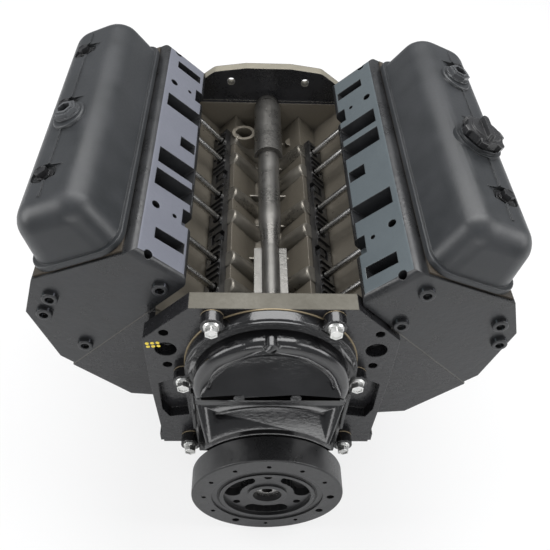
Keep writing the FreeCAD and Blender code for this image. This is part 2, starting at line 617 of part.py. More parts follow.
def camshaft():
    """Four journals, twelve lobes and a nose that carries the sprocket."""
    cam_z = val("cam_height")
    base, lift = val("cam_base"), val("cam_lift")
    nose = base / 2
    shapes = [disc(val("cam_core"), val(FRONT) - val("chain_layer + sprocket_width"), -22, 0, cam_z)]
    for main in MAINS:
        shapes.append(disc(val("cam_journal"), val(main) - 10, val(main) + 10, 0, cam_z))
    shapes.append(disc(val("cam_journal"), val(FRONT) - 2, val(MAINS[3]), 0, cam_z))
    width = val("lobe_width")
    for number, side in enumerate(BANKS):
        for index, (line, intake) in enumerate(VALVE_LINES):
            turn = 1 if side == "left" else -1
            station = bank_place(side).Base.y + turn * val(line) - width / 2
            angle = index * 60 + number * 90 + (0 if intake else 110)
            spot = crank_point(angle, base + lift - nose)
            centre = FreeCAD.Vector(0, 0, cam_z)
            tip = FreeCAD.Vector(spot.x, 0, spot.z + cam_z)
            lobe = hull_face(centre, base, tip, nose, station)
            shapes.append(lobe.extrude(FreeCAD.Vector(0, width, 0)))
    front = val(FRONT) - val("chain_layer + sprocket_width")
    shaft = shapes[0].multiFuse(shapes[1:]).cut(disc(4.9, front - 1, front + 26, 0, cam_z))
    keep("camshaft", made("camshaft_form", shaft))
    end_bolt("cam_sprocket_bolt", front, 17, cam_z)


def balance_shaft():
    """A slim shaft with a weight at each end on opposite sides and a cast sleeve between."""
    height = val("balance_height")
    heavy = val("weight_shaft")
    shaft = [disc(val("shaft_radius"), val(FRONT) - val("gear_layer + gear_width") - 3, -6, 0, height),
             disc(val("balance_bore - running"), val(FRONT) + 1, val(FRONT) + 26, 0, height),
             disc(val("balance_bore - 4 - running"), -21, -8, 0, height),
             disc(13, -252, -132, 0, height)]
    cone = Part.makeCone(9.6, 13, 46, FreeCAD.Vector(0, -298, height), Y_AXIS)
    for low, high, turn in ((-134, -26, -90), (-392, -296, 90)):
        half = Part.makeCylinder(heavy, high - low, FreeCAD.Vector(0, low, height), Y_AXIS, 180)
        half.rotate(FreeCAD.Vector(0, 0, height), Y_AXIS, turn)
        shaft.append(half)
    front = val(FRONT) - val("gear_layer + gear_width") - 3
    whole = shaft[0].multiFuse(shaft[1:] + [cone]).cut(disc(4.9, front - 1, front + 26, 0, height))
    keep("balance_shaft", made("balance_shaft_form", whole))
    end_bolt("balance_gear_bolt", front, 9.6, height)


def timing_cover():
    """The pressed-and-cast front cover, its gasket, bolts and the shaft seal."""
    front = f"{FRONT} - cover_depth"
    back = f"{FRONT} - gasket"
    step = f"{FRONT} - flange_depth"

    def form(name, kind, grow, foot, low, high):
        points = mirrored([(f"{kind}_foot + {grow}", foot), (f"{kind}_waist + {grow}", "waist_height")])
        return fuse(name, [prism(f"{name}_foot", points, low, high),
                           rod(f"{name}_drum", f"{kind}_radius + {grow}", low, high, 0, f"{kind}_centre")])
    flange = form("flange_out", "cover", "0", "0", step, back)
    bell = form("bell_out", "bell", "0", "2", front, f"{step} + 1")
    arc = cut("top_arc", rod("arc_outer", "cover_radius - 2", f"{step} - 2", f"{step} + 1", 0, "cover_centre"),
              [rod("arc_inner", "cover_radius - 5", f"{step} - 3", f"{step} + 2", 0, "cover_centre")])
    lip = cut("cover_lip", rod("lip_outer", "damper_radius - 1", f"{front} - 5", f"{front} + 5"),
              [rod("lip_inner", "damper_radius - 6", f"{front} - 6", f"{front} + 6"),
               box("lip_floor", ("-100", f"{front} - 7", "-100"), ("100", f"{front} + 12", "40"))])
    neck = rod("seal_boss", "seal_radius + 7", front, f"{front} + 10")
    bosses = [rod("cover_boss", "10", step, back, x, z) for x, z in COVER_SCREWS]
    rooms = [form("flange_in", "cover", "-cover_wall", "-2", f"{step} + cover_wall", f"{back} + 1"),
             form("bell_in", "bell", "-cover_wall", "-3", f"{front} + cover_wall", back)]
    blank = fuse("cover_blank", [flange, bell, arc, lip])
    hollow = fuse("cover_hollow", [cut("cover_open", blank, rooms), neck] + bosses)
    tools = [rod("seal_bore", "seal_radius", f"{front} - 8", f"{FRONT}")]
    tools += [rod("cover_bolt_hole", "screw_radius + 0.2", f"{front} - 1", f"{FRONT} + 1", x, z)
              for x, z in COVER_SCREWS]
    tools += [rod("cover_spot", "9", f"{front} - 8", step, x, z) for x, z in COVER_SCREWS]
    keep("timing_cover", cut("timing_cover_cut", hollow, tools))
    pads = [rod("gasket_pad", "11", back, FRONT, x, z) for x, z in COVER_SCREWS]
    holes = [rod("gasket_hole", "screw_radius + 0.2", f"{back} - 1", f"{FRONT} + 1", x, z) for x, z in COVER_SCREWS]
    inside = form("gasket_in", "cover", "-cover_wall", "-2", f"{back} - 1", f"{FRONT} + 1")
    edge = cut("gasket_edge", form("gasket_out", "cover", "1", "0", back, FRONT), [inside])
    sheet_ring = fuse("gasket_ring", [edge] + pads)
    keep("timing_cover_gasket", cut("timing_gasket_cut", sheet_ring, holes))
    bolts = []
    for x, z in COVER_SCREWS:
        head = solid("Prism", "cover_bolt_head", at(x, f"{step} - 7.5", z, ALONG_Y), Circumradius="6.6", Height="6")
        washer = rod("cover_bolt_washer", "8", f"{step} - 2", step, x, z)
        shank = rod("cover_bolt_shank", "screw_radius", f"{step} - 1", f"{FRONT} + 14", x, z)
        bolts.append(fuse("cover_bolt", [head, washer, shank]))
    keep("timing_cover_bolts", group("cover_bolts", bolts))
    seal = cut("seal_form", rod("seal_outer", "seal_radius", f"{front} + 1", f"{front} + 9"),
               [rod("seal_inner", "sleeve_radius + fastener_gap", f"{front}", f"{front} + 10")])
    keep("front_seal", seal)


# Cylinder heads and valve gear

def head_form():
    """One head in its bank's frame; the other bank carries it turned end for end."""
    foot = HEAD_FOOT
    outer_x = "rail_inner - rail_width * cos(valve_angle)"
    outer_z = f"{foot} + rail_rise + rail_width * sin(valve_angle)"
    outline = [("-exhaust_edge", foot), ("face_foot", foot), ("face_top", f"{foot} + face_height"),
               ("rail_inner", f"{foot} + rail_rise"), (outer_x, outer_z), ("-30", f"{foot} + 84"),
               ("-exhaust_edge", f"{foot} + 18")]
    half = val("bank_length / 2")

    def corner(edge):
        return all(abs(abs(v.Y) - half) < 0.1 and v.X > val("face_top") - 1 for v in edge.Vertexes)
    blank = prism("head_blank", outline, "-bank_length / 2", "bank_length / 2", (corner, 8))
    rail = rail_place()
    tools = [box("valve_recess", ("-recess_half", "-bank_length / 2 + 11", "-recess_depth"),
                 ("recess_half", "bank_length / 2 - 11", "40"), rail)]
    for index, line in enumerate(CYLINDER_LINES):
        tools.append(post(f"chamber_{index}", "bore / 2 - 5", "6", at("0", line, f"{foot} - 1")))
        port = at("-exhaust_edge + 44", line, f"{foot} + 44", FreeCAD.Rotation(Y_AXIS, -66))
        tools.append(post(f"exhaust_port_{index}", "17", "40", port))
    for index, (line, intake) in enumerate(VALVE_LINES):
        disc_radius = "intake_disc" if intake else "exhaust_disc"
        seat = rail.multiply(at("valve_line", line, "-valve_sink - 30"))
        tools.append(post(f"valve_pocket_{index}", f"{disc_radius} + 1.5", "30 + 4", seat))
        tools.append(post(f"valve_guide_{index}", "stem_radius + running", "valve_sink",
                          rail.multiply(at("valve_line", line, "-valve_sink"))))
        tools.append(post(f"pushrod_hole_{index}", "pushrod_radius + 3.5", "140", pushrod_place(line, "44")))
        tools.append(post(f"stud_hole_{index}", "4.7 + fastener_gap", "14",
                          rail.multiply(at("pivot_line", line, "-recess_depth - 13"))))
    for column in HEAD_BOLT_COLUMNS:
        for row, seat in (("-head_bolt_row + 6", "32"), ("head_bolt_row", "40")):
            tools.append(post("head_bolt_way", "head_bolt + fastener_gap", "120", at(row, column, f"{foot} - 1")))
            tools.append(post("head_bolt_seat", "13", "80", at(row, column, f"{foot} + {seat}")))
    for line in COVER_BOLTS:
        tools.append(post("cover_stud_way", "3.8", "16", rail.multiply(at("cover_bolt_line", line, "-recess_depth - 14"))))
    tools += intake_openings()
    return cut("head_form", blank, tools)


def face_place(y, rise):
    """A placement on the intake face with its Z axis out of the face."""
    lean = math.degrees(math.atan2(val("face_foot - face_top"), val("face_height")))
    share = f"({rise}) / face_height"
    return at(f"face_foot - (face_foot - face_top) * {share}", y, f"{HEAD_FOOT} + {rise}",
              FreeCAD.Rotation(Y_AXIS, 90 - lean))


def intake_openings():
    """Ports, water slots, notches and bolt holes of the manifold face."""
    windows = ((72, 29, 25, 50, 24, 14), (-34, 29, 26, 50, 24, 14), (-70, 29, 26, 50, 24, 14),
               (11, 19, 18, 21, 14, 12), (157, 29, 15, 36, 20, 9), (-149, 27, 15, 36, 20, 9))
    tools = []
    for y, rise, width, tall, depth, inner in windows:
        place = face_place(y, rise).multiply(at(0, 0, 0, FreeCAD.Rotation(X_AXIS, 90)))
        tools.append(solid("Wedge", "port_window", place, Xmin=-tall / 4, Xmax=tall / 4, Ymin=-depth, Ymax=1,
                           Zmin=-inner / 2, Zmax=inner / 2, X2min=-tall / 2, X2max=tall / 2,
                           Z2min=-width / 2, Z2max=width / 2))
    for y in (-180.5, -112, 112, 180.5):
        tools.append(post("manifold_hole", "4.6", "24", face_place(y, 48).multiply(at(0, 0, "-22"))))
    for y in (-112, 116):
        tools.append(post("dowel_hole", "2.6", "14", face_place(y, 25).multiply(at(0, 0, "-12"))))
    for y in (-106, 119):
        tools.append(box("pushrod_notch", ("-16", -12, "-16"), ("13", 12, "6"), face_place(y, 0)))
    return tools


def pushrod_ends(line):
    """Foot and top of a pushrod in its bank's frame."""
    foot = FreeCAD.Vector(val(PUSHROD_FOOT[0]), val(line), val(PUSHROD_FOOT[1]))
    top = rail_place().multVec(FreeCAD.Vector(val("pushrod_line"), val(line), val("pushrod_top")))
    return foot, top


def pushrod_place(line, start):
    """A placement along a pushrod, so far up from its foot."""
    foot, top = pushrod_ends(line)
    turn = FreeCAD.Rotation(Z_AXIS, top.sub(foot))
    return FreeCAD.Placement(foot, turn).multiply(at(0, 0, start))


def heads():
    """Both heads with their gaskets and bolts."""
    form = head_form()
    foot = "deck_height"
    sheet_blank = box("gasket_blank", ("-deck_outer + 1", "-bank_length / 2", foot),
                      ("valley_inner - 1", "bank_length / 2", HEAD_FOOT))
    tools = [post("gasket_bore", "bore / 2 + 1", "4", at(0, line, f"{foot} - 1")) for line in CYLINDER_LINES]
    for row in ("-head_bolt_row + 6", "head_bolt_row"):
        for column in HEAD_BOLT_COLUMNS:
            tools.append(post("gasket_hole", "head_bolt + 1", "4", at(row, column, f"{foot} - 1")))
    gasket = cut("head_gasket_form", sheet_blank, tools)
    bolts = []
    for column in HEAD_BOLT_COLUMNS:
        for row, seat in (("-head_bolt_row + 6", "32"), ("head_bolt_row", "40")):
            hexagon = solid("Prism", "head_bolt_head", at(row, column, f"{HEAD_FOOT} + {seat}"), Circumradius="9.5",
                            Height="9")
            shank = post("head_bolt_shank", "head_bolt", f"{seat} + gasket + 37",
                         at(row, column, "deck_height - 36"))
            bolts.append(fuse("head_bolt_form", [hexagon, shank]))
    keep("head_bolts", copies("head_bolt_set", group("bank_bolts", bolts), [bank_place(side) for side in BANKS]))
    for side in BANKS:
        place = bank_place(side)
        keep(f"cylinder_head_{side}", copies(f"head_{side}", form, [place]))
        keep(f"head_gasket_{side}", copies(f"gasket_{side}", gasket, [place]))


def valve_form(disc_radius):
    """One valve in the rail frame: a stem with a flared head."""
    foot = "-valve_sink"
    stem = post("valve_stem", "stem_radius", "valve_sink + valve_tip", at(0, 0, foot))
    head = post("valve_head", disc_radius, "2.5", at(0, 0, foot))
    flare = solid("Cone", "valve_flare", at(0, 0, f"{foot} + 2.5"), Radius1=f"{disc_radius} - 4",
                  Radius2="stem_radius", Height="1.4")
    return fuse("valve_form", [stem, head, flare])


def spring_form():
    """One valve spring as a tube with a groove between each pair of coils, in the rail frame."""
    low, high, coils = "-recess_depth", 13.8, 6
    tools = [post("spring_bore", "10.4", "recess_depth + 20", at(0, 0, "-recess_depth - 1"))]
    for coil in range(coils):
        share = (coil + 1) / (coils + 1)
        height = f"{low} + (recess_depth + {high}) * {share}"
        ring = solid("Torus", "spring_groove", at(0, 0, height), Radius1="15.8", Radius2="2")
        tools.append(ring)
    return cut("spring_form", post("spring_tube", "15", f"recess_depth + {high}", at(0, 0, low)), tools)


def valve_gear():
    """Lifters, pushrods, rockers, studs, valves, springs and retainers of each bank."""
    intake, exhaust = valve_form("intake_disc"), valve_form("exhaust_disc")
    spring = spring_form()
    retainer = cut("retainer_form", post("retainer_disc", "15", "4", at(0, 0, "13.8")),
                   [post("retainer_bore", "stem_radius + running", "8", at(0, 0, "12"))])
    arm = prism("rocker_blank", [("-26", "22.2"), ("-14", "22.2"), ("4", "16"), ("22", "14.3"), ("38", "14.3"),
                                 ("39", "22"), ("24", "27"), ("2", "28"), ("-12", "32"), ("-26", "30")], "-8", "8")
    rocker = cut("rocker_form", arm, [post("rocker_slot", "6.1", "40", at("pivot_line", 0, 0))])
    stud = fuse("stud_form", [post("stud_rod", "4.7", "recess_depth + 12 + 40", at("pivot_line", 0, "-recess_depth - 12")),
                              solid("Prism", "stud_nut", at("pivot_line", 0, "28.3"), Circumradius="8.4", Height="8")])
    lifter = fuse("lifter_form", [post("lifter_body", "lifter_radius", "lifter_length - 8", at(0, 0, "8")),
                                  rod("lifter_roller", "8.8", "-7", "7", 0, "8.8")])
    pushrod_length = pushrod_ends("0")[1].sub(pushrod_ends("0")[0]).Length
    pushrod = post("pushrod_form", "pushrod_radius", pushrod_length, at(0, 0, 0))
    tray = box("tray_blank", ("valley_inner + 1.5", "-152", "lifter_top + fastener_gap"),
               ("valley_inner + 25", "152", "lifter_top + 9"))
    tools = [post("tray_hole", "pushrod_radius + 3", "20", at(PUSHROD_FOOT[0], line, "lifter_top - 2"))
             for line, _ in VALVE_LINES]
    tools += [box("tray_slot", ("valley_inner + 8", line - 8, "lifter_top + 4"), ("valley_inner + 26", line + 8, 180))
              for line in (-56, 56)]
    guide = cut("tray_form", tray, tools)
    guide_bolts = group("tray_bolts", [
        solid("Prism", "tray_bolt", at("valley_inner + 18", line, "lifter_top + 4.1"), Circumradius="6", Height="5")
        for line in (-56, 56)])
    spots = {side: [rail_place(side).multiply(at("valve_line", line, 0)) for line, _ in VALVE_LINES]
             for side in BANKS}
    rows = [rail_place(side).multiply(at(0, line, 0)) for side in BANKS for line, _ in VALVE_LINES]
    both = spots["left"] + spots["right"]
    doc.recompute()
    shapes = []
    for side in BANKS:
        for (_, is_intake), spot in zip(VALVE_LINES, spots[side]):
            shape = (intake if is_intake else exhaust).Shape.copy()
            shape.Placement = spot
            shapes.append(shape)
    keep("valves", made("valve_set", Part.makeCompound(shapes)))
    keep("valve_springs", copies("spring_set", spring, both))
    keep("spring_retainers", copies("retainer_set", retainer, both))
    keep("rocker_arms", copies("rocker_set", rocker, rows))
    keep("rocker_studs", copies("stud_set", stud, rows))
    keep("valve_lifters", copies("lifter_set", lifter, [
        local(side, PUSHROD_FOOT[0], line, LIFTER_FOOT) for side in BANKS for line, _ in VALVE_LINES]))
    keep("pushrods", copies("pushrod_set", pushrod, [
        bank_place(side).multiply(pushrod_place(line, "0")) for side in BANKS for line, _ in VALVE_LINES]))
    keep("lifter_guides", copies("guide_set", guide, [bank_place(side) for side in BANKS]))
    keep("lifter_guide_bolts", copies("guide_bolt_set", guide_bolts, [bank_place(side) for side in BANKS]))


# Valve covers

def cover_form(name, shrink, low):
    """The cover's outer or inner form: a straight-sided tub with a large top round."""
    half, long = f"cover_half - {shrink}", f"cover_long - {shrink}"
    block = box(f"{name}_block", (f"-({half})", f"-({long})", low), (half, long, f"cover_height - {shrink}"))
    doc.recompute()
    top = val(f"cover_height - {shrink}")
    picks = []
    for number, edge in enumerate(block.Shape.Edges, start=1):
        ends = [vertex.Point for vertex in edge.Vertexes]
        if all(abs(point.z - top) < 0.01 for point in ends) or abs(ends[0].z - ends[1].z) > 1:
            picks.append((number, val(f"cover_round - {shrink}"), val(f"cover_round - {shrink}")))
    thing = doc.addObject("Part::Fillet", name)
    thing.Base = block
    thing.Edges = picks
    return thing


def valve_covers():
    """Each bank's cover, gasket and centre bolts, and the fittings of the two covers."""
    screws, rings = [], []
    for side in BANKS:
        rail = rail_place(side)
        outer = cover_form(f"{side}_cover_out", "0", "2")
        inner = cover_form(f"{side}_cover_in", "cover_skin", "1.9")
        turn = 1 if side == "left" else -1
        rib = box(f"{side}_ridge", ("cover_bolt_line + 3", "-146", "cover_height - 1"),
                  ("cover_bolt_line + 6", "146", "cover_height + 1.6"))
        fitting_line = turn * (-26 if side == "left" else 86)
        boss = post(f"{side}_boss", "15", "10", at(-4, fitting_line, "cover_height - 6"))
        bases = [post(f"{side}_bolt_boss", "13", "cover_height - bolt_seat", at("cover_bolt_line", line, "bolt_seat - 3"))
                 for line in COVER_BOLTS]
        extra = [boss, rib]
        tools = [post(f"{side}_bolt_way", "3.9", "cover_height", at("cover_bolt_line", line, "20"))
                 for line in COVER_BOLTS]
        tools += [post(f"{side}_bolt_recess", "12", "20", at("cover_bolt_line", line, "bolt_seat"))
                  for line in COVER_BOLTS]
        tools.append(post(f"{side}_fitting_way", "8", "30", at(-4, fitting_line, "cover_height - 20")))
        if side == "right":
            cap_line = turn * -33
            extra.append(post("filler_neck", "21", "9", at(-3, cap_line, "cover_height - 4")))
            tools.append(post("filler_way", "16.3", "40", at(-3, cap_line, "cover_height - 20")))
        hollow = cut(f"{side}_cover_hollow", fuse(f"{side}_cover_solid", [outer] + extra), [inner])
        shell = cut(f"{side}_cover", fuse(f"{side}_cover_bossed", [hollow] + bases), tools)
        keep(f"valve_cover_{side}", shell, rail)
        ring = cut(f"{side}_cover_gasket", box(f"{side}_gasket_out", ("-cover_half", "-cover_long", "0"),
                                               ("cover_half", "cover_long", "2")),
                   [box(f"{side}_gasket_in", ("-recess_half - 5", "-cover_long + 10", "-1"),
                        ("recess_half + 5", "cover_long - 10", "3"))])
        rings.append(ring)
        bolts = []
        for line in COVER_BOLTS:
            row = "cover_bolt_line"
            shank = post("cover_screw", "3.5", "bolt_seat + recess_depth + 12", at(row, line, "-recess_depth - 10"))
            washer = post("cover_washer", "9.5", "2", at(row, line, "bolt_seat"))
            head = solid("Prism", "cover_screw_head", at(row, line, "bolt_seat + 2"), Circumradius="6.5", Height="7.8")
            bolts.append(fuse("cover_screw_form", [shank, washer, head]))
        screws.append(group(f"{side}_cover_bolts", bolts))
        nut = cut(f"{side}_fitting", fuse(f"{side}_fitting_solid", [
            solid("Prism", f"{side}_fitting_hex", at(-4, fitting_line, "cover_height + 4.2"), Circumradius="13.5", Height="6"),
            post(f"{side}_fitting_neck", "7.7", "14", at(-4, fitting_line, "cover_height - 8"))]),
            [post(f"{side}_fitting_bore", "5.5", "40", at(-4, fitting_line, "cover_height - 20"))])
        keep(f"breather_fitting_{side}", nut, rail)
    doc.recompute()
    for label, forms in (("valve_cover_bolts", screws), ("valve_cover_gaskets", rings)):
        for form, side in zip(forms, BANKS):
            form.Placement = rail_place(side)
        keep(label, group(f"{label}_set", forms))
    crown = post("cap_crown", "23", "9", at(-3, 33, "cover_height + 5.3"))
    lobes = [post("cap_lobe", "7", "9", at(-3 + 22 * math.cos(math.radians(60 * n)), 33 + 22 * math.sin(math.radians(60 * n)),
                                            "cover_height + 5.3")) for n in range(6)]
    plug = post("cap_plug", "15.9", "18", at(-3, 33, "cover_height - 10"))
    keep("oil_filler_cap", fuse("filler_cap", [crown, plug] + lobes), rail_place("right"))


cylinder_block()
main_bearings()
rear_seal()
cam_bearings()
crankshaft()
pistons()
damper()
camshaft()
balance_shaft()
timing_drive()
timing_cover()
heads()
valve_gear()
valve_covers()
doc.recompute()

for thing in doc.Objects:
    if {"Invalid", "Error"} & set(thing.State):
        raise RuntimeError(f"{thing.Name} did not build: {thing.State}")
for label, thing in nodes.items():
    if thing.Shape.isNull() or not thing.Shape.isValid():
        raise RuntimeError(f"{label} has no valid shape")

os.makedirs("parts", exist_ok=True)
for label, thing in nodes.items():
    thing.Shape.exportStep(f"parts/{label}.step")
    print(label, len(thing.Shape.Solids), round(thing.Shape.Volume / 1000, 1))
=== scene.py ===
"""A ninety-degree V6 long block, dressed over its CAD frame: detailed pieces, finishes, studio and camera."""
import logging
import math
from dataclasses import dataclass, field
from enum import Enum
from typing import Callable, Iterable, Optional, Sequence

import bmesh
import bpy
from mathutils import Matrix, Vector


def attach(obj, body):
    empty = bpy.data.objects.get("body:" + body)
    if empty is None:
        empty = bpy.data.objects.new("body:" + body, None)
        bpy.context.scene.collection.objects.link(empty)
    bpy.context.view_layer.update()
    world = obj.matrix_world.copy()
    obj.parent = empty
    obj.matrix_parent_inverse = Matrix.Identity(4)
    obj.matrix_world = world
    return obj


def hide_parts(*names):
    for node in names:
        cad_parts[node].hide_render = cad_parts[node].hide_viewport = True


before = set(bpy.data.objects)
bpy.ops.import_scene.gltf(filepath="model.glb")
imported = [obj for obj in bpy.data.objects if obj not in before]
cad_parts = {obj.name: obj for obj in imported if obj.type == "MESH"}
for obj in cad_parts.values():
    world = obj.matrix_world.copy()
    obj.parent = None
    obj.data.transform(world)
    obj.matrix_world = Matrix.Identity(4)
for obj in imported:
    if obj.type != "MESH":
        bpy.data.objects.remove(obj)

LOG = logging.getLogger("engine")
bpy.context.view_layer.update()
MM = 0.001
OPEN_END = 1.0
Point = Sequence[float]
Colour = tuple[float, float, float]


class Side(Enum):
    """The engine's two banks, as seen from the front."""

    LEFT = "left"
    RIGHT = "right"

    @property
    def turn(self) -> int:
        """1 where the bank's own Y runs to the rear, -1 where it runs to the front."""
        return 1 if self is Side.LEFT else -1


@dataclass(frozen=True)
class Layout:
    """Places shared by the pieces, in millimetres and degrees.

    Attributes:
        front: Y of the block's front face.
        half_vee: angle between a bank and the vertical.
        middles: Y of the middle of each bank.
        rail: place of the cover rail's middle in its bank, across and up.
        rail_lean: angle of the rail from the deck.
        valves: lines of the valves along a bank.
    """

    front: float = -425.0
    half_vee: float = 45.0
    middles: tuple[float, float] = (-206.6, -229.0)
    rail: tuple[float, float] = (58.435, 316.541)
    rail_lean: float = 23.0
    valves: tuple[float, ...] = (90.8, -21.0, -90.8, 132.8, 21.0, -132.8)

    def bank(self, side: Side) -> Matrix:
        """The matrix of a bank's own frame, in millimetres.

        Args:
            side: the bank.

        Returns:
            The matrix from the bank's frame to the engine's.
        """
        lean = math.radians(self.half_vee)
        if side is Side.LEFT:
            return Matrix.Translation((0, self.middles[0], 0)) @ Matrix.Rotation(-lean, 4, "Y")
        turn = Matrix.Rotation(lean, 4, "Y") @ Matrix.Rotation(math.pi, 4, "Z")
        return Matrix.Translation((0, self.middles[1], 0)) @ turn

    def cover(self, side: Side) -> Matrix:
        """The matrix of a bank's cover rail, in millimetres.

        Args:
            side: the bank.

        Returns:
            The matrix from the rail's frame to the engine's.
        """
        lean = Matrix.Rotation(math.radians(self.rail_lean), 4, "Y")
        return self.bank(side) @ Matrix.Translation((self.rail[0], 0, self.rail[1])) @ lean

    def face(self) -> Matrix:
        """The matrix of the front face: X right, Y up, Z forward from the crankshaft's line."""
        return Matrix(((1, 0, 0, 0), (0, 0, -1, 0), (0, 1, 0, 0), (0, 0, 0, 1)))


LAYOUT = Layout()


@dataclass(frozen=True)
class Zone:
    """A part of a surface with its own look.

    Attributes:
        colour: its base colour.
        metallic: its metallic value.
        roughness: its roughness.
        low: lowest corner of the zone, in metres, with OPEN_END where it has no limit.
        high: highest corner of the zone, in metres.
        facing: direction that its faces point in, or None for all.
        cosine: least cosine between a face and that direction.
    """

    colour: Colour
    metallic: float
    roughness: float
    low: Point = (-OPEN_END, -OPEN_END, -OPEN_END)
    high: Point = (OPEN_END, OPEN_END, OPEN_END)
    facing: Optional[Point] = None
    cosine: float = 0.97


@dataclass(frozen=True)
class Finish:
    """One surface finish, and how its nodes are set.

    Attributes:
        name: the material's name.
        colour: base colour.
        shade: second colour, mixed in as soft clouds.
        metallic: metallic value.
        roughness: middle roughness.
        spread: how far the roughness wanders.
        grain: size of the fine relief, in millimetres.
        relief: strength of the fine relief.
        lumps: strength of the coarse casting relief.
        edge: colour of worn edges.
        wear: share of the edge colour.
        painted_shade: colour of the painted shade laid into corners and recesses.
        painted_shade_share: how strongly that painted shade darkens them.
        round_mm: radius by which sharp edges catch the light.
        coat: clear coat weight.
        zones: parts with a look of their own.
    """

    name: str
    colour: Colour
    shade: Colour
    metallic: float = 0.0
    roughness: float = 0.45
    spread: float = 0.12
    grain: float = 1.2
    relief: float = 0.15
    lumps: float = 0.0
    edge: Colour = (0.3, 0.3, 0.3)
    wear: float = 0.15
    # The next two fields are painted shade: a dark colour that an ambient-occlusion mask lays into corners
    # and recesses, and its strength.
    painted_shade: Colour = (0.01, 0.009, 0.008)
    painted_shade_share: float = 0.4
    round_mm: float = 0.8
    coat: float = 0.0
    zones: tuple[Zone, ...] = field(default=())


class Wiring:
    """Nodes and links of one material."""

    def __init__(self, name: str) -> None:
        """Start an empty material of that name."""
        self.material = bpy.data.materials.new(name)
        self.material.use_nodes = True
        self.tree = self.material.node_tree
        self.tree.nodes.clear()

    def node(self, kind: str, **settings: object) -> bpy.types.Node:
        """Add a node.

        Args:
            kind: the node's type.
            settings: properties to set on it.

        Returns:
            The node.
        """
        made = self.tree.nodes.new(kind)
        for name, value in settings.items():
            setattr(made, name, value)
        return made

    def feed(self, socket: bpy.types.NodeSocket, value: object) -> None:
        """Set a socket, or link it where the value is a socket."""
        if isinstance(value, bpy.types.NodeSocket):
            self.tree.links.new(value, socket)
        elif isinstance(value, tuple) and len(value) == 3 and len(socket.default_value) == 4:
            socket.default_value = (*value, 1.0)
        else:
            socket.default_value = value

    def maths(self, operation: str, first: object, second: object = 0.0) -> bpy.types.NodeSocket:
        """One arithmetic step."""
        made = self.node("ShaderNodeMath", operation=operation)
        self.feed(made.inputs[0], first)
        self.feed(made.inputs[1], second)
        return made.outputs[0]

    def blend(self, share: object, first: object, second: object) -> bpy.types.NodeSocket:
        """Mix two colours by a share."""
        made = self.node("ShaderNodeMix", data_type="RGBA")
        self.feed(made.inputs[0], share)
        self.feed(made.inputs[6], first)
        self.feed(made.inputs[7], second)
        return made.outputs[2]

    def blend_value(self, share: object, first: object, second: object) -> bpy.types.NodeSocket:
        """Mix two values by a share."""
        made = self.node("ShaderNodeMix", data_type="FLOAT")
        self.feed(made.inputs[0], share)
        self.feed(made.inputs[2], first)
        self.feed(made.inputs[3], second)
        return made.outputs[0]

    def noise(self, place: bpy.types.NodeSocket, size_mm: float, detail: float = 3.0) -> bpy.types.NodeSocket:
        """A noise field whose features are about so many millimetres across."""
        made = self.node("ShaderNodeTexNoise")
        self.feed(made.inputs["Vector"], place)
        self.feed(made.inputs["Scale"], 1.0 / (size_mm * MM))
        self.feed(made.inputs["Detail"], detail)
        return made.outputs["Fac"]

    def spread(self, value: bpy.types.NodeSocket, low: float, high: float, to_low: float,
               to_high: float) -> bpy.types.NodeSocket:
        """Map a range of values onto another, clamped."""
        made = self.node("ShaderNodeMapRange")
        for name, number in (("From Min", low), ("From Max", high), ("To Min", to_low), ("To Max", to_high)):
            self.feed(made.inputs[name], number)
        self.feed(made.inputs["Value"], value)
        return made.outputs[0]


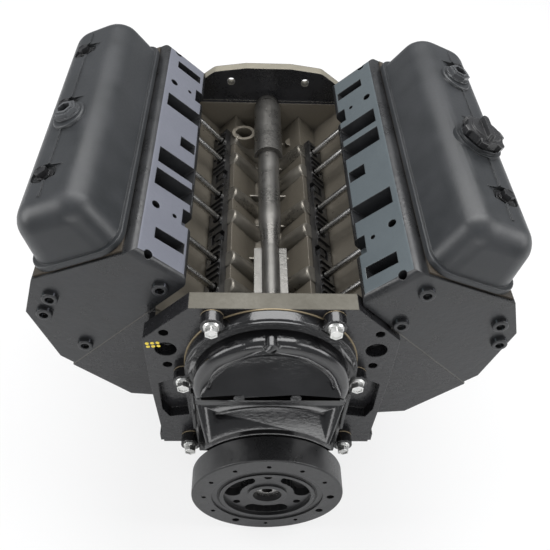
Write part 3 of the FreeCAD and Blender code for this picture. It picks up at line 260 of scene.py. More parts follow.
class Paintbox:
    """Makes each finish once and puts it on objects."""

    def __init__(self) -> None:
        """Start with no material made."""
        self.made: dict[str, bpy.types.Material] = {}

    def zone_mask(self, wiring: Wiring, zone: Zone, place: bpy.types.NodeSocket,
                  normal: bpy.types.NodeSocket) -> bpy.types.NodeSocket:
        """The mask of one zone.

        Args:
            wiring: the material's nodes.
            zone: the zone.
            place: object coordinates.
            normal: the true normal.

        Returns:
            A value that is 1 inside the zone.
        """
        parts = wiring.node("ShaderNodeSeparateXYZ")
        wiring.feed(parts.inputs[0], place)
        mask: object = 1.0
        for axis in range(3):
            if zone.low[axis] > -OPEN_END:
                above = wiring.maths("GREATER_THAN", parts.outputs[axis], zone.low[axis])
                mask = wiring.maths("MULTIPLY", mask, above)
            if zone.high[axis] < OPEN_END:
                below = wiring.maths("LESS_THAN", parts.outputs[axis], zone.high[axis])
                mask = wiring.maths("MULTIPLY", mask, below)
        if zone.facing is not None:
            dot = wiring.node("ShaderNodeVectorMath", operation="DOT_PRODUCT")
            wiring.feed(dot.inputs[0], normal)
            wiring.feed(dot.inputs[1], tuple(Vector(zone.facing).normalized()))
            facing = wiring.maths("GREATER_THAN", dot.outputs["Value"], zone.cosine)
            mask = wiring.maths("MULTIPLY", mask, facing)
        return mask

    def build(self, finish: Finish) -> bpy.types.Material:
        """Make a finish's material.

        Args:
            finish: the finish.

        Returns:
            The material, made once for each name.
        """
        if finish.name in self.made:
            return self.made[finish.name]
        wiring = Wiring(finish.name)
        place = wiring.node("ShaderNodeTexCoord").outputs["Object"]
        geometry = wiring.node("ShaderNodeNewGeometry")
        clouds = wiring.noise(place, 38.0, 4.0)
        specks = wiring.noise(place, 3.5, 2.0)
        cloudy = wiring.spread(clouds, 0.35, 0.65, 0.0, 1.0)
        colour: object = wiring.blend(cloudy, finish.colour, finish.shade)
        metallic: object = finish.metallic
        rough: object = finish.roughness
        for zone in finish.zones:
            mask = self.zone_mask(wiring, zone, place, geometry.outputs["True Normal"])
            colour = wiring.blend(mask, colour, zone.colour)
            metallic = wiring.blend_value(mask, metallic, zone.metallic)
            rough = wiring.blend_value(mask, rough, zone.roughness)
        rounded = wiring.node("ShaderNodeBevel", samples=4)
        wiring.feed(rounded.inputs["Radius"], finish.round_mm * MM)
        edge_dot = wiring.node("ShaderNodeVectorMath", operation="DOT_PRODUCT")
        wiring.feed(edge_dot.inputs[0], rounded.outputs[0])
        wiring.feed(edge_dot.inputs[1], geometry.outputs["Normal"])
        edge = wiring.spread(edge_dot.outputs["Value"], 0.985, 0.85, 0.0, 1.0)
        edge = wiring.maths("MULTIPLY", edge, wiring.spread(specks, 0.4, 0.6, 0.2, 1.0))
        colour = wiring.blend(wiring.maths("MULTIPLY", edge, finish.wear), colour, finish.edge)
        # Painted shade: an ambient-occlusion mask blends the colour towards a dark shade colour in corners
        # and recesses.
        corners = wiring.node("ShaderNodeAmbientOcclusion", samples=4, only_local=False)
        wiring.feed(corners.inputs["Distance"], 0.012)
        corner = wiring.spread(corners.outputs["AO"], 0.75, 0.25, 0.0, finish.painted_shade_share)
        colour = wiring.blend(corner, colour, finish.painted_shade)
        wander = wiring.maths("ADD", wiring.spread(clouds, 0.3, 0.7, -finish.spread, finish.spread),
                              wiring.spread(specks, 0.3, 0.7, -finish.spread / 2, finish.spread / 2))
        rough = wiring.maths("MAXIMUM", wiring.maths("ADD", rough, wander), 0.05)
        fine = wiring.node("ShaderNodeBump")
        wiring.feed(fine.inputs["Strength"], finish.relief)
        wiring.feed(fine.inputs["Distance"], 0.0004)
        wiring.feed(fine.inputs["Height"], wiring.noise(place, finish.grain, 2.0))
        wiring.feed(fine.inputs["Normal"], rounded.outputs[0])
        relief = fine.outputs[0]
        if finish.lumps:
            coarse = wiring.node("ShaderNodeBump")
            wiring.feed(coarse.inputs["Strength"], finish.lumps)
            wiring.feed(coarse.inputs["Distance"], 0.0012)
            wiring.feed(coarse.inputs["Height"], wiring.noise(place, 6.0, 3.0))
            wiring.feed(coarse.inputs["Normal"], relief)
            relief = coarse.outputs[0]
        shader = wiring.node("ShaderNodeBsdfPrincipled")
        wiring.feed(shader.inputs["Base Color"], colour)
        wiring.feed(shader.inputs["Metallic"], metallic)
        wiring.feed(shader.inputs["Roughness"], rough)
        wiring.feed(shader.inputs["Normal"], relief)
        if finish.coat:
            wiring.feed(shader.inputs["Coat Weight"], finish.coat)
            wiring.feed(shader.inputs["Coat Roughness"], 0.12)
        out = wiring.node("ShaderNodeOutputMaterial")
        wiring.feed(out.inputs["Surface"], shader.outputs[0])
        self.made[finish.name] = wiring.material
        return wiring.material

    def dress(self, piece: bpy.types.Object, finish: Finish) -> None:
        """Give every slot of an object the finish's material."""
        material = self.build(finish)
        if not piece.material_slots:
            piece.data.materials.append(material)
        for slot in piece.material_slots:
            slot.material = material


VALLEY = ((-0.1155, -0.4035, 0.149), (0.1155, -0.0195, 0.2525))
FACE_ACROSS = 0.7071 * (0.9981 - 0.0624)
FACE_UP = 0.7071 * (0.9981 + 0.0624)
FRONT_STRIP = ((-0.0795, -0.4255, 0.2435), (0.0795, -0.4025, 0.246))
REAR_STRIP = ((-0.2, -0.0145, 0.2), (0.2, -0.0005, 0.26))
UPWARD = (0, 0, 1)


class Finishes:
    """Every finish of the engine."""

    BLOCK = Finish("black_block_paint", (0.010, 0.010, 0.011), (0.016, 0.016, 0.018), roughness=0.27,
                   spread=0.08, relief=0.25, grain=1.6, lumps=0.35, edge=(0.10, 0.10, 0.10), wear=0.25,
                   painted_shade_share=0.5, round_mm=1.6,
                   zones=(Zone((0.17, 0.152, 0.122), 0.45, 0.38, *VALLEY),
                          Zone((0.085, 0.078, 0.060), 0.3, 0.5, *FRONT_STRIP, UPWARD, 0.9),
                          Zone((0.26, 0.24, 0.19), 0.4, 0.45, *REAR_STRIP, UPWARD, 0.6)))
    HEAD = Finish("black_head_paint", (0.011, 0.0115, 0.0125), (0.018, 0.019, 0.021), roughness=0.33,
                  spread=0.08, relief=0.2, grain=1.6, lumps=0.25, edge=(0.12, 0.12, 0.12), wear=0.2,
                  round_mm=1.4,
                  # Both intake faces are one machined grey. The left head's face gets a lighter copy of it as
                  # painted light, and the right head's face a darker copy as painted shade.
                  zones=(Zone((0.165, 0.172, 0.205), 0.25, 0.48, facing=(FACE_ACROSS, 0, FACE_UP),
                              cosine=0.995),
                         Zone((0.095, 0.115, 0.125), 0.3, 0.46, facing=(-FACE_ACROSS, 0, FACE_UP),
                              cosine=0.995)))
    COVER = Finish("charcoal_cover_paint", (0.017, 0.019, 0.021), (0.024, 0.026, 0.029), roughness=0.42,
                   spread=0.07, relief=0.22, grain=1.0, edge=(0.12, 0.125, 0.13), wear=0.22, painted_shade_share=0.35,
                   round_mm=1.0)
    FRONT = Finish("gloss_front_paint", (0.006, 0.006, 0.0065), (0.010, 0.010, 0.011), roughness=0.17,
                   spread=0.06, relief=0.22, grain=1.8, lumps=0.22, edge=(0.06, 0.06, 0.06), wear=0.2,
                   coat=0.3, round_mm=1.6)
    IRON = Finish("bare_oiled_iron", (0.16, 0.148, 0.125), (0.24, 0.225, 0.195), metallic=0.65,
                  roughness=0.36, relief=0.25, lumps=0.25, edge=(0.3, 0.28, 0.24), painted_shade_share=0.7, round_mm=1.0)
    SHAFT = Finish("cast_shaft", (0.10, 0.097, 0.09), (0.16, 0.155, 0.145), metallic=0.75, roughness=0.33,
                   relief=0.25, lumps=0.2, edge=(0.45, 0.44, 0.42), painted_shade_share=0.5, round_mm=1.0)
    STEEL = Finish("bright_steel", (0.46, 0.45, 0.43), (0.56, 0.55, 0.53), metallic=1.0, roughness=0.26,
                   spread=0.04, relief=0.02, edge=(0.7, 0.7, 0.68), wear=0.05, painted_shade_share=0.4, round_mm=0.5)
    ZINC = Finish("bright_zinc", (0.62, 0.62, 0.60), (0.72, 0.72, 0.70), metallic=0.95, roughness=0.30,
                  relief=0.08, edge=(0.85, 0.85, 0.83), painted_shade_share=0.4, round_mm=0.4)
    BLACK_BOLT = Finish("black_bolt", (0.014, 0.014, 0.015), (0.022, 0.022, 0.024), metallic=0.4,
                        roughness=0.36, relief=0.1, edge=(0.2, 0.2, 0.2), wear=0.3, round_mm=0.5)
    FITTING = Finish("grey_fitting", (0.085, 0.088, 0.092), (0.12, 0.124, 0.13), metallic=0.6, roughness=0.38,
                     relief=0.1, edge=(0.3, 0.3, 0.3), wear=0.3, round_mm=0.5)
    CAP = Finish("black_cap_plastic", (0.009, 0.009, 0.010), (0.013, 0.013, 0.014), roughness=0.30,
                 relief=0.12, edge=(0.08, 0.08, 0.08), wear=0.25, round_mm=0.6)
    PLASTIC = Finish("black_guide_plastic", (0.008, 0.008, 0.0085), (0.012, 0.012, 0.013), roughness=0.36,
                     relief=0.12, edge=(0.06, 0.06, 0.06), round_mm=0.6)
    DAMPER = Finish("black_damper_coat", (0.010, 0.010, 0.0105), (0.016, 0.016, 0.017), roughness=0.34,
                    spread=0.08, relief=0.1, edge=(0.14, 0.14, 0.14), wear=0.3, round_mm=0.7)
    RUBBER = Finish("dark_rubber", (0.008, 0.008, 0.008), (0.014, 0.014, 0.014), roughness=0.65, relief=0.15)
    GASKET = Finish("tan_gasket_sheet", (0.33, 0.26, 0.16), (0.42, 0.34, 0.22), roughness=0.75, relief=0.3,
                    grain=0.6, edge=(0.5, 0.42, 0.3), round_mm=0.2)
    HEAD_GASKET = Finish("dark_steel_gasket", (0.09, 0.088, 0.08), (0.14, 0.135, 0.12), metallic=0.8,
                         roughness=0.4, relief=0.05, round_mm=0.2)
    DARK_GASKET = Finish("brown_moulded_gasket", (0.045, 0.036, 0.026), (0.07, 0.056, 0.04), roughness=0.5,
                         relief=0.15, round_mm=0.3)
    BEARING = Finish("bearing_metal", (0.38, 0.37, 0.35), (0.46, 0.45, 0.43), metallic=0.9, roughness=0.35)
    ALLOY = Finish("piston_alloy", (0.48, 0.48, 0.48), (0.56, 0.56, 0.56), metallic=0.9, roughness=0.38,
                   relief=0.12)
    PAINT_DOT = Finish("yellow_paint_dots", (0.75, 0.55, 0.03), (0.85, 0.65, 0.06), roughness=0.4, relief=0.2)


@dataclass(frozen=True)
class ScrewSizes:
    """Sizes of a hexagon screw above and below its seat, in millimetres.

    Attributes:
        head: radius over the head's corners.
        low: the head's underside.
        high: the head's top.
        rim: width left round the dish in the head's top.
        dish: depth of that dish.
        shank: the shank's radius.
        reach: how far the shank goes below the seat.
    """

    head: float
    low: float
    high: float
    rim: float
    dish: float
    shank: float
    reach: float


class Bench:
    """Modelling steps, each one done with Blender's own operators. Lengths are in millimetres."""

    @staticmethod
    def take(*pieces: bpy.types.Object) -> None:
        """Select only these objects, the first of them active."""
        if bpy.context.object and bpy.context.object.mode != "OBJECT":
            bpy.ops.object.mode_set(mode="OBJECT")
        bpy.ops.object.select_all(action="DESELECT")
        for piece in pieces:
            piece.select_set(True)
        bpy.context.view_layer.objects.active = pieces[0]

    @staticmethod
    def settle(name: str) -> bpy.types.Object:
        """Name the newest object and put its place into its mesh."""
        piece = bpy.context.object
        piece.name = name
        Bench.take(piece)
        bpy.ops.object.transform_apply(location=True, rotation=True, scale=True)
        return piece

    @staticmethod
    def block(name: str, low: Point, high: Point) -> bpy.types.Object:
        """A block between two corners."""
        bpy.ops.object.select_all(action="DESELECT")
        middle = [(a + b) / 2 * MM for a, b in zip(low, high)]
        size = [(b - a) * MM for a, b in zip(low, high)]
        bpy.ops.mesh.primitive_cube_add(size=1, location=middle, scale=size)
        return Bench.settle(name)

    @staticmethod
    def drum(name: str, radius: float, low: float, high: float, x: float = 0.0, y: float = 0.0,
             sides: int = 64, turn: float = 0.0) -> bpy.types.Object:
        """An upright cylinder between two heights.

        Args:
            name: the object's name.
            radius: its radius.
            low: its foot.
            high: its top.
            x: its place across.
            y: its place along.
            sides: how many sides it has.
            turn: its turn about its axis, in degrees.

        Returns:
            The object.
        """
        bpy.ops.object.select_all(action="DESELECT")
        bpy.ops.mesh.primitive_cylinder_add(vertices=sides, radius=radius * MM, depth=(high - low) * MM,
                                            location=(x * MM, y * MM, (low + high) / 2 * MM),
                                            rotation=(0, 0, math.radians(turn)))
        return Bench.settle(name)

    @staticmethod
    def pick(piece: bpy.types.Object, test: Callable[[Vector], bool], kind: str = "EDGE") -> int:
        """Open a piece for editing and select by place.

        Args:
            piece: the object.
            test: says of a point, in millimetres, if it belongs.
            kind: VERT, EDGE or FACE. Edges and faces are chosen when all their points belong.

        Returns:
            How many were chosen.
        """
        Bench.take(piece)
        bpy.ops.object.mode_set(mode="EDIT")
        bpy.ops.mesh.select_mode(type=kind)
        bpy.ops.mesh.select_all(action="DESELECT")
        mesh = bmesh.from_edit_mesh(piece.data)
        group = {"VERT": mesh.verts, "EDGE": mesh.edges, "FACE": mesh.faces}[kind]
        count = 0
        for item in group:
            points = [item.co] if kind == "VERT" else [corner.co for corner in item.verts]
            if all(test(point / MM) for point in points):
                item.select_set(True)
                count += 1
        mesh.select_flush_mode()
        bmesh.update_edit_mesh(piece.data)
        return count

    @staticmethod
    def leave() -> None:
        """Close the piece being edited."""
        bpy.ops.object.mode_set(mode="OBJECT")

    @staticmethod
    def round_edges(piece: bpy.types.Object, test: Callable[[Vector], bool], radius: float,
                    steps: int = 6) -> None:
        """Round the edges whose ends both pass a test."""
        if Bench.pick(piece, test):
            bpy.ops.mesh.bevel(offset=radius * MM, segments=steps, profile=0.5, affect="EDGES")
        Bench.leave()

    @staticmethod
    def round_uprights(piece: bpy.types.Object, radius: float, steps: int = 6) -> None:
        """Round the edges that run along Z."""
        Bench.take(piece)
        bpy.ops.object.mode_set(mode="EDIT")
        bpy.ops.mesh.select_mode(type="EDGE")
        bpy.ops.mesh.select_all(action="DESELECT")
        mesh = bmesh.from_edit_mesh(piece.data)
        for edge in mesh.edges:
            run = edge.verts[0].co - edge.verts[1].co
            if abs(run.z) > 0.6 * run.length:
                edge.select_set(True)
        bmesh.update_edit_mesh(piece.data)
        bpy.ops.mesh.bevel(offset=radius * MM, segments=steps, profile=0.5, affect="EDGES")
        Bench.leave()

    @staticmethod
    def step_face(piece: bpy.types.Object, test: Callable[[Vector], bool], inward: float,
                  along: Point) -> None:
        """Inset the faces that pass a test, and push them along a direction."""
        Bench.pick(piece, test, "FACE")
        if inward:
            bpy.ops.mesh.inset(thickness=inward * MM, depth=0.0)
        if any(along):
            push = {"value": [value * MM for value in along]}
            bpy.ops.mesh.extrude_region_move(TRANSFORM_OT_translate=push)
        Bench.leave()

    @staticmethod
    def stretch(piece: bpy.types.Object, test: Callable[[Vector], bool], factors: Point, centre: Point,
                shift: Point = (0, 0, 0)) -> None:
        """Scale and shift the points that pass a test."""
        Bench.pick(piece, test, "VERT")
        bpy.ops.transform.resize(value=factors, center_override=[value * MM for value in centre])
        bpy.ops.transform.translate(value=[value * MM for value in shift])
        Bench.leave()

    @staticmethod
    def combine(piece: bpy.types.Object, others: Iterable[bpy.types.Object],
                operation: str) -> bpy.types.Object:
        """Add or take away other objects, which are used up.

        Args:
            piece: the object that is kept.
            others: what is added or cut.
            operation: UNION or DIFFERENCE.

        Returns:
            The object.
        """
        for other in others:
            Bench.take(piece)
            bpy.ops.object.modifier_add(type="BOOLEAN")
            step = piece.modifiers[-1]
            step.operation = operation
            step.solver = "MANIFOLD"
            step.object = other
            bpy.ops.object.modifier_apply(modifier=step.name)
            bpy.data.objects.remove(other, do_unlink=True)
        return piece

    @staticmethod
    def join(pieces: Sequence[bpy.types.Object]) -> bpy.types.Object:
        """Keep several shells as one object."""
        Bench.take(*pieces)
        if len(pieces) > 1:
            bpy.ops.object.join()
        return bpy.context.object

    @staticmethod
    def move(piece: bpy.types.Object, matrix: Matrix) -> bpy.types.Object:
        """Carry a piece by a matrix in millimetres, into its mesh."""
        metres = matrix.copy()
        metres.translation = matrix.translation * MM
        piece.matrix_world = metres @ piece.matrix_world
        Bench.take(piece)
        bpy.ops.object.transform_apply(location=True, rotation=True, scale=True)
        return piece

    @staticmethod
    def repeat(piece: bpy.types.Object, places: Sequence[Matrix], name: str) -> bpy.types.Object:
        """Copy a piece, mesh and all, to several places, as one object. The first piece is used up."""
        made = []
        for place in places:
            Bench.take(piece)
            bpy.ops.object.duplicate(linked=False)
            made.append(Bench.move(bpy.context.object, place))
        bpy.data.objects.remove(piece, do_unlink=True)
        whole = Bench.join(made)
        whole.name = name
        return whole

    @staticmethod
    def screw(size: ScrewSizes) -> list[bpy.types.Object]:
        """The dished hexagon head and the shank of a screw."""
        head = Bench.drum("head", size.head, size.low, size.high, sides=6)
        Bench.step_face(head, lambda p: p.z > size.high - 0.3, size.rim, (0, 0, -size.dish))
        return [head, Bench.drum("shank", size.shank, -size.reach, 1, sides=24)]

    @staticmethod
    def crisp(piece: bpy.types.Object, width: float = 0.8, steps: int = 2,
              angle: float = 35.0) -> bpy.types.Object:
        """Break the sharp edges, smooth the rest and weight the normals by area."""
        Bench.take(piece)
        bpy.ops.object.mode_set(mode="EDIT")
        bpy.ops.mesh.select_all(action="SELECT")
        bpy.ops.mesh.remove_doubles(threshold=0.00001)
        bpy.ops.mesh.normals_make_consistent(inside=False)
        bpy.ops.object.mode_set(mode="OBJECT")
        if width:
            bpy.ops.object.modifier_add(type="BEVEL")
            bevel = piece.modifiers[-1]
            bevel.width = width * MM
            bevel.segments = steps
            bevel.limit_method = "ANGLE"
            bevel.angle_limit = math.radians(angle)
            bevel.harden_normals = False
            bpy.ops.object.modifier_apply(modifier=bevel.name)
        bpy.ops.object.shade_smooth_by_angle(angle=math.radians(angle))
        bpy.ops.object.modifier_add(type="WEIGHTED_NORMAL")
        piece.modifiers[-1].keep_sharp = True
        bpy.ops.object.modifier_apply(modifier=piece.modifiers[-1].name)
        return piece


class Assembly:
    """A sub-assembly: it builds its pieces, dresses them and reports them."""

    def __init__(self, paints: Paintbox) -> None:
        """Keep the finishes at hand."""
        self.paints = paints

    def settle(self, piece: bpy.types.Object, name: str, body: str, finish: Finish, slot: str,
               nodes: Sequence[str] = ()) -> bpy.types.Object:
        """Finish a piece: name, finish, body and the nodes that it stands for.

        Args:
            piece: the object.
            name: its name.
            body: the body that it rides on.
            finish: its finish.
            slot: not used.
            nodes: CAD nodes that it replaces.

        Returns:
            The object.
        """
        piece.name = name
        self.paints.dress(piece, finish)
        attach(piece, body)
        if nodes:
            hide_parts(*nodes)
        LOG.info("%s: %d faces on %s", name, len(piece.data.polygons), body)
        return piece


@dataclass
class CoverSizes:
    """Sizes of a valve cover in its rail's frame, in millimetres.

    Attributes:
        half: half the width at the foot.
        long: half the length at the foot.
        foot: height of the underside.
        height: height of the top.
        top_width: share of the width that the top keeps.
        top_length: share of the length that the top keeps.
        top_shift: how far the top leans across.
        corner: radius of the upright corners.
        crown: radius round the top.
        lip: how far the flange stands out.
        flange: height of the flange.
        bolt_line: place of the screws across.
        bolts: places of the screws along.
        seat: height that the screws stand on.
        pocket: radius of a screw's recess.
        ramp: half width of the ramp that leaves the recess.
        ramp_run: length of the ramp.
        ramp_tip: share of its width that the ramp keeps at its end.
        ramp_rise: how far above the top the ramp ends.
        boss: radius of the fitting's boss.
        boss_rise: how far that boss stands above the top.
        neck: radius of the filler neck.
        neck_rise: how far the neck stands above the top.
        neck_foot: radius of the step round the neck.
        rib_long: half the length of the rib along the top.
        sunk: how far added forms reach into the cover.
        clear: how far cutting forms reach above it.
    """

    half: float = 46.0
    long: float = 183.0
    foot: float = 2.0
    height: float = 60.0
    top_width: float = 0.80
    top_length: float = 0.955
    top_shift: float = -4.0
    corner: float = 24.0
    crown: float = 21.0
    lip: float = 2.5
    flange: float = 8.0
    bolt_line: float = -14.5
    bolts: tuple[float, ...] = (114.0, 0.0, -114.0)
    seat: float = 55.0
    pocket: float = 13.5
    ramp: float = 13.0
    ramp_run: float = 38.0
    ramp_tip: float = 0.15
    ramp_rise: float = 3.5
    boss: float = 17.0
    boss_rise: float = 3.6
    neck: float = 23.0
    neck_rise: float = 5.0
    neck_foot: float = 27.0
    rib_long: float = 150.0
    sunk: float = 8.0
    clear: float = 20.0


class ValveCovers(Assembly):
    """The two tall covers with their bolts, fittings and the filler cap."""

    sizes = CoverSizes()
    screws = ScrewSizes(head=6.6, low=2, high=9.8, rim=1.4, dish=0.7, shank=3.4, reach=96)
    fittings = {Side.LEFT: (-4.0, -26.0), Side.RIGHT: (-4.0, -86.0)}
    cap = (-3.0, 33.0)

    def additions(self, side: Side) -> list[bpy.types.Object]:
        """What stands on a cover: its flange, the fitting's boss, a rib and the filler neck."""
        size = self.sizes
        reach, length = size.half + size.lip, size.long + size.lip
        flange = Bench.block("flange", (-reach, -length, size.foot), (reach, length, size.flange))
        Bench.round_uprights(flange, size.corner, 8)
        Bench.round_edges(flange, lambda p: p.z > size.flange - 1, 1.5, 2)
        x, y = self.fittings[side]
        boss = Bench.drum("fitting_boss", size.boss, size.height - size.sunk, size.height + size.boss_rise,
                          x, y, 48)
        Bench.stretch(boss, lambda p: True, (1.05, 1.3, 1), (x, y, size.height))
        Bench.round_edges(boss, lambda p: p.z > size.height + 3, 2.5, 3)
        rib = Bench.block("rib", (size.bolt_line + 3, -size.rib_long, size.height - 2),
                          (size.bolt_line + 5.5, size.rib_long, size.height + 1.2))
        added = [flange, boss, rib]
        if side is Side.RIGHT:
            low = size.height - size.sunk
            added.append(Bench.drum("neck_foot", size.neck_foot, low, size.height + 2, *self.cap, 64))
            added.append(Bench.drum("neck", size.neck, low + 1, size.height + size.neck_rise, *self.cap, 64))
        return added

    def recesses(self) -> list[bpy.types.Object]:
        """The cutting forms of the screw recesses, each a round pocket with a pointed ramp."""
        size = self.sizes
        top, tip = size.height + size.clear, size.bolt_line + size.ramp_run
        cuts = []
        for line in size.bolts:
            cuts.append(Bench.drum("pocket", size.pocket, size.seat, top, size.bolt_line, line, 48))
            ramp = Bench.block("ramp", (size.bolt_line, line - size.ramp, size.seat),
                               (tip, line + size.ramp, top))
            rise = size.height - size.seat + size.ramp_rise
            Bench.stretch(ramp, lambda p: p.x > tip - 4 and p.z < size.seat + 1, (1, size.ramp_tip, 1),
                          (0, line, 0), (0, 0, rise))
            Bench.stretch(ramp, lambda p: p.x > tip - 4 and p.z > size.height + 10, (1, size.ramp_tip, 1),
                          (0, line, 0))
            cuts.append(ramp)
        return cuts

    def shell(self, side: Side) -> bpy.types.Object:
        """One cover in its rail's frame.

        Args:
            side: the bank.

        Returns:
            The object.
        """
        size = self.sizes
        body = Bench.block("cover", (-size.half, -size.long, size.foot), (size.half, size.long, size.height))
        Bench.stretch(body, lambda p: p.z > size.height - 1, (size.top_width, size.top_length, 1),
                      (0, 0, size.height), (size.top_shift, 0, 0))
        Bench.round_uprights(body, size.corner, 8)
        Bench.round_edges(body, lambda p: p.z > size.height - 1, size.crown, 8)
        Bench.combine(body, self.additions(side), "UNION")
        Bench.combine(body, self.recesses(), "DIFFERENCE")
        return Bench.crisp(body, 0.9, 2, 32)

    def screw(self) -> bpy.types.Object:
        """A hexagon bolt with its washer, standing on the seat."""
        collar = Bench.drum("collar", 7.6, 1.8, 3.6, sides=40)
        washer = Bench.drum("washer", 9.8, 0, 1.9, sides=40)
        return Bench.crisp(Bench.join(Bench.screw(self.screws) + [collar, washer]), 0.4, 2)

    def fitting(self) -> bpy.types.Object:
        """A hexagon fitting with an open bore."""
        nut = Bench.drum("nut", 13.2, 4, 10.5, sides=6, turn=15)
        Bench.step_face(nut, lambda p: p.z > 10, 2.6, (0, 0, 1.6))
        Bench.step_face(nut, lambda p: p.z > 11.5, 2.4, (0, 0, -14))
        collar = Bench.drum("collar", 14.2, 3.6, 5.4, sides=48)
        bore = Bench.drum("bore", 5.6, -20, 30, sides=32)
        Bench.combine(collar, [bore], "DIFFERENCE")
        return Bench.crisp(Bench.join([nut, collar]), 0.5, 2)

    def filler(self) -> bpy.types.Object:
        """The filler cap: a lobed knob with a raised grip across it."""
        knob = Bench.drum("knob", 21, 5.4, 14.2, sides=12)
        Bench.take(knob)
        bpy.ops.object.mode_set(mode="EDIT")
        bpy.ops.mesh.select_mode(type="FACE")
        bpy.ops.mesh.select_all(action="DESELECT")
        mesh = bmesh.from_edit_mesh(knob.data)
        mesh.faces.ensure_lookup_table()
        sides = sorted((face for face in mesh.faces if abs(face.normal.z) < 0.5),
                       key=lambda face: math.atan2(face.normal.y, face.normal.x))
        for face in sides[::2]:
            face.select_set(True)
        bmesh.update_edit_mesh(knob.data)
        bpy.ops.mesh.inset(thickness=1.2 * MM, depth=4.5 * MM, use_individual=True)
        Bench.leave()
        Bench.step_face(knob, lambda p: p.z > 14, 3.5, (0, 0, 1.8))
        Bench.take(knob)
        bpy.ops.object.modifier_add(type="BEVEL")
        knob.modifiers[-1].width = 1.2 * MM
        knob.modifiers[-1].segments = 2
        bpy.ops.object.modifier_apply(modifier=knob.modifiers[-1].name)
        grip = Bench.block("grip", (-4.5, -19, 14), (4.5, 19, 20.5))
        Bench.round_uprights(grip, 4, 4)
        Bench.stretch(grip, lambda p: p.z > 20, (0.7, 0.92, 1), (0, 0, 20))
        plug = Bench.drum("plug", 15.8, -10, 6, sides=48)
        return Bench.crisp(Bench.join([knob, grip, plug]), 0.9, 2)

    def build(self) -> None:
        """Build, place and dress both covers and what they carry."""
        size = self.sizes
        for side in Side:
            place = LAYOUT.cover(side)
            cover = Bench.move(self.shell(side), place)
            self.settle(cover, f"cover_{side.value}", "block", Finishes.COVER, "cover_paint",
                        [f"valve_cover_{side.value}"])
            x, y = self.fittings[side]
            nut = Bench.move(self.fitting(), place @ Matrix.Translation((x, y, size.height)))
            self.settle(nut, f"fitting_{side.value}", "block", Finishes.FITTING, "fitting_steel",
                        [f"breather_fitting_{side.value}"])
        spots = [LAYOUT.cover(side) @ Matrix.Translation((size.bolt_line, line, size.seat))
                 for side in Side for line in size.bolts]
        screws = Bench.repeat(self.screw(), spots, "screws")
        self.settle(screws, "cover_screws", "block", Finishes.BLACK_BOLT, "black_bolt", ["valve_cover_bolts"])
        top = Matrix.Translation((*self.cap, size.height))
        knob = Bench.move(self.filler(), LAYOUT.cover(Side.RIGHT) @ top)
        self.settle(knob, "filler_knob", "oil_filler_cap", Finishes.CAP, "cap_plastic", ["oil_filler_cap"])


@dataclass
class DamperSizes:
    """Sizes of the vibration damper, in millimetres."""

    rim: float = 84.8
    hub: float = 53.5
    rubber: float = 3.0
    rear: float = 465.5
    front: float = 494.5
    bore: float = 16.05
    sleeve: float = 22.0
    bolt_circle: float = 39.7
    bolt_hole: float = 4.2
    web: float = 481.0


class Damper(Assembly):
    """The vibration damper, modelled facing up and turned to the front."""

    sizes = DamperSizes()

    @staticmethod
    def spot(angle: float, reach: float) -> tuple[float, float]:
        """A point at an angle from the top, clockwise seen from the front."""
        return reach * math.sin(math.radians(angle)), reach * math.cos(math.radians(angle))

    def ring(self) -> bpy.types.Object:
        """The inertia ring with its grooved face and balance holes."""
        size = self.sizes
        ring = Bench.drum("ring", size.rim, size.rear, size.front, sides=128)
        Bench.round_edges(ring, lambda p: abs(p.z - size.front) < 0.1, 1.8, 3)
        Bench.round_edges(ring, lambda p: abs(p.z - size.rear) < 0.1, 1.2, 2)
        Bench.step_face(ring, lambda p: p.z > size.front - 0.1, 20.5, (0, 0, -1.6))
        cuts = [Bench.drum("mouth", size.hub + size.rubber, size.rear - 5, size.front + 5, sides=128)]
        for step in range(12):
            x, y = self.spot(step * 30, 71)
            radius = 4.4 if step in (3, 4, 7) else 2.6
            cuts.append(Bench.drum("hole", radius, size.front - 9, size.front + 4, x, y, 24))
        Bench.combine(ring, cuts, "DIFFERENCE")
        return Bench.crisp(ring, 0.5, 2)

    def hub(self) -> bpy.types.Object:
        """The hub: a rim, a recessed web with three windows and bolt holes, and a sleeve."""
        size = self.sizes
        hub = Bench.drum("hub", size.hub, size.rear, size.front, sides=96)
        Bench.step_face(hub, lambda p: p.z > size.front - 0.1, 4.5, (0, 0, -4))
        Bench.step_face(hub, lambda p: p.z < size.rear + 0.1, 5, (0, 0, 14))
        boss = Bench.drum("boss", size.sleeve, 448.2, size.front - 2.2, sides=64)
        Bench.combine(hub, [boss], "UNION")
        cuts = [Bench.drum("bore", size.bore, 400, 520, sides=64)]
        for step in range(3):
            x, y = self.spot(step * 120, size.bolt_circle)
            cuts.append(Bench.drum("pulley_hole", size.bolt_hole, 460, 520, x, y, 32))
            parts = [Bench.drum("part", 9.0, size.web, 520, *self.spot(step * 120 + 60 + lean, 39), 32)
                     for lean in (-24, -12, 0, 12, 24)]
            window = parts[0]
            Bench.combine(window, parts[1:], "UNION")
            cuts.append(window)
        Bench.combine(hub, cuts, "DIFFERENCE")
        return Bench.crisp(hub, 0.6, 2)

    def build(self) -> None:
        """Build, place and dress the damper."""
        front = LAYOUT.face()
        ring = Bench.move(self.ring(), front)
        self.settle(ring, "damper_rim", "crankshaft", Finishes.DAMPER, "dark_iron", ["damper_ring"])
        hub = Bench.move(self.hub(), front)
        self.settle(hub, "damper_centre", "crankshaft", Finishes.DAMPER, "dark_iron", ["damper_hub"])


@dataclass
class FrontCoverSizes:
    """Sizes of the timing cover on the front face, in millimetres."""

    back: float = 426.0
    step: float = 438.0
    front: float = 457.0
    centre: float = 158.0
    radius: float = 87.0
    foot: float = 79.0
    waist: float = 86.0
    waist_height: float = 138.0
    bell_centre: float = 154.0
    bell: float = 78.0
    bell_foot: float = 66.0
    bell_waist: float = 78.0
    rib_line: float = 80.5
    screws: tuple[tuple[float, float], ...] = ((57.5, 233.0), (88.5, 143.0), (88.5, 13.5))


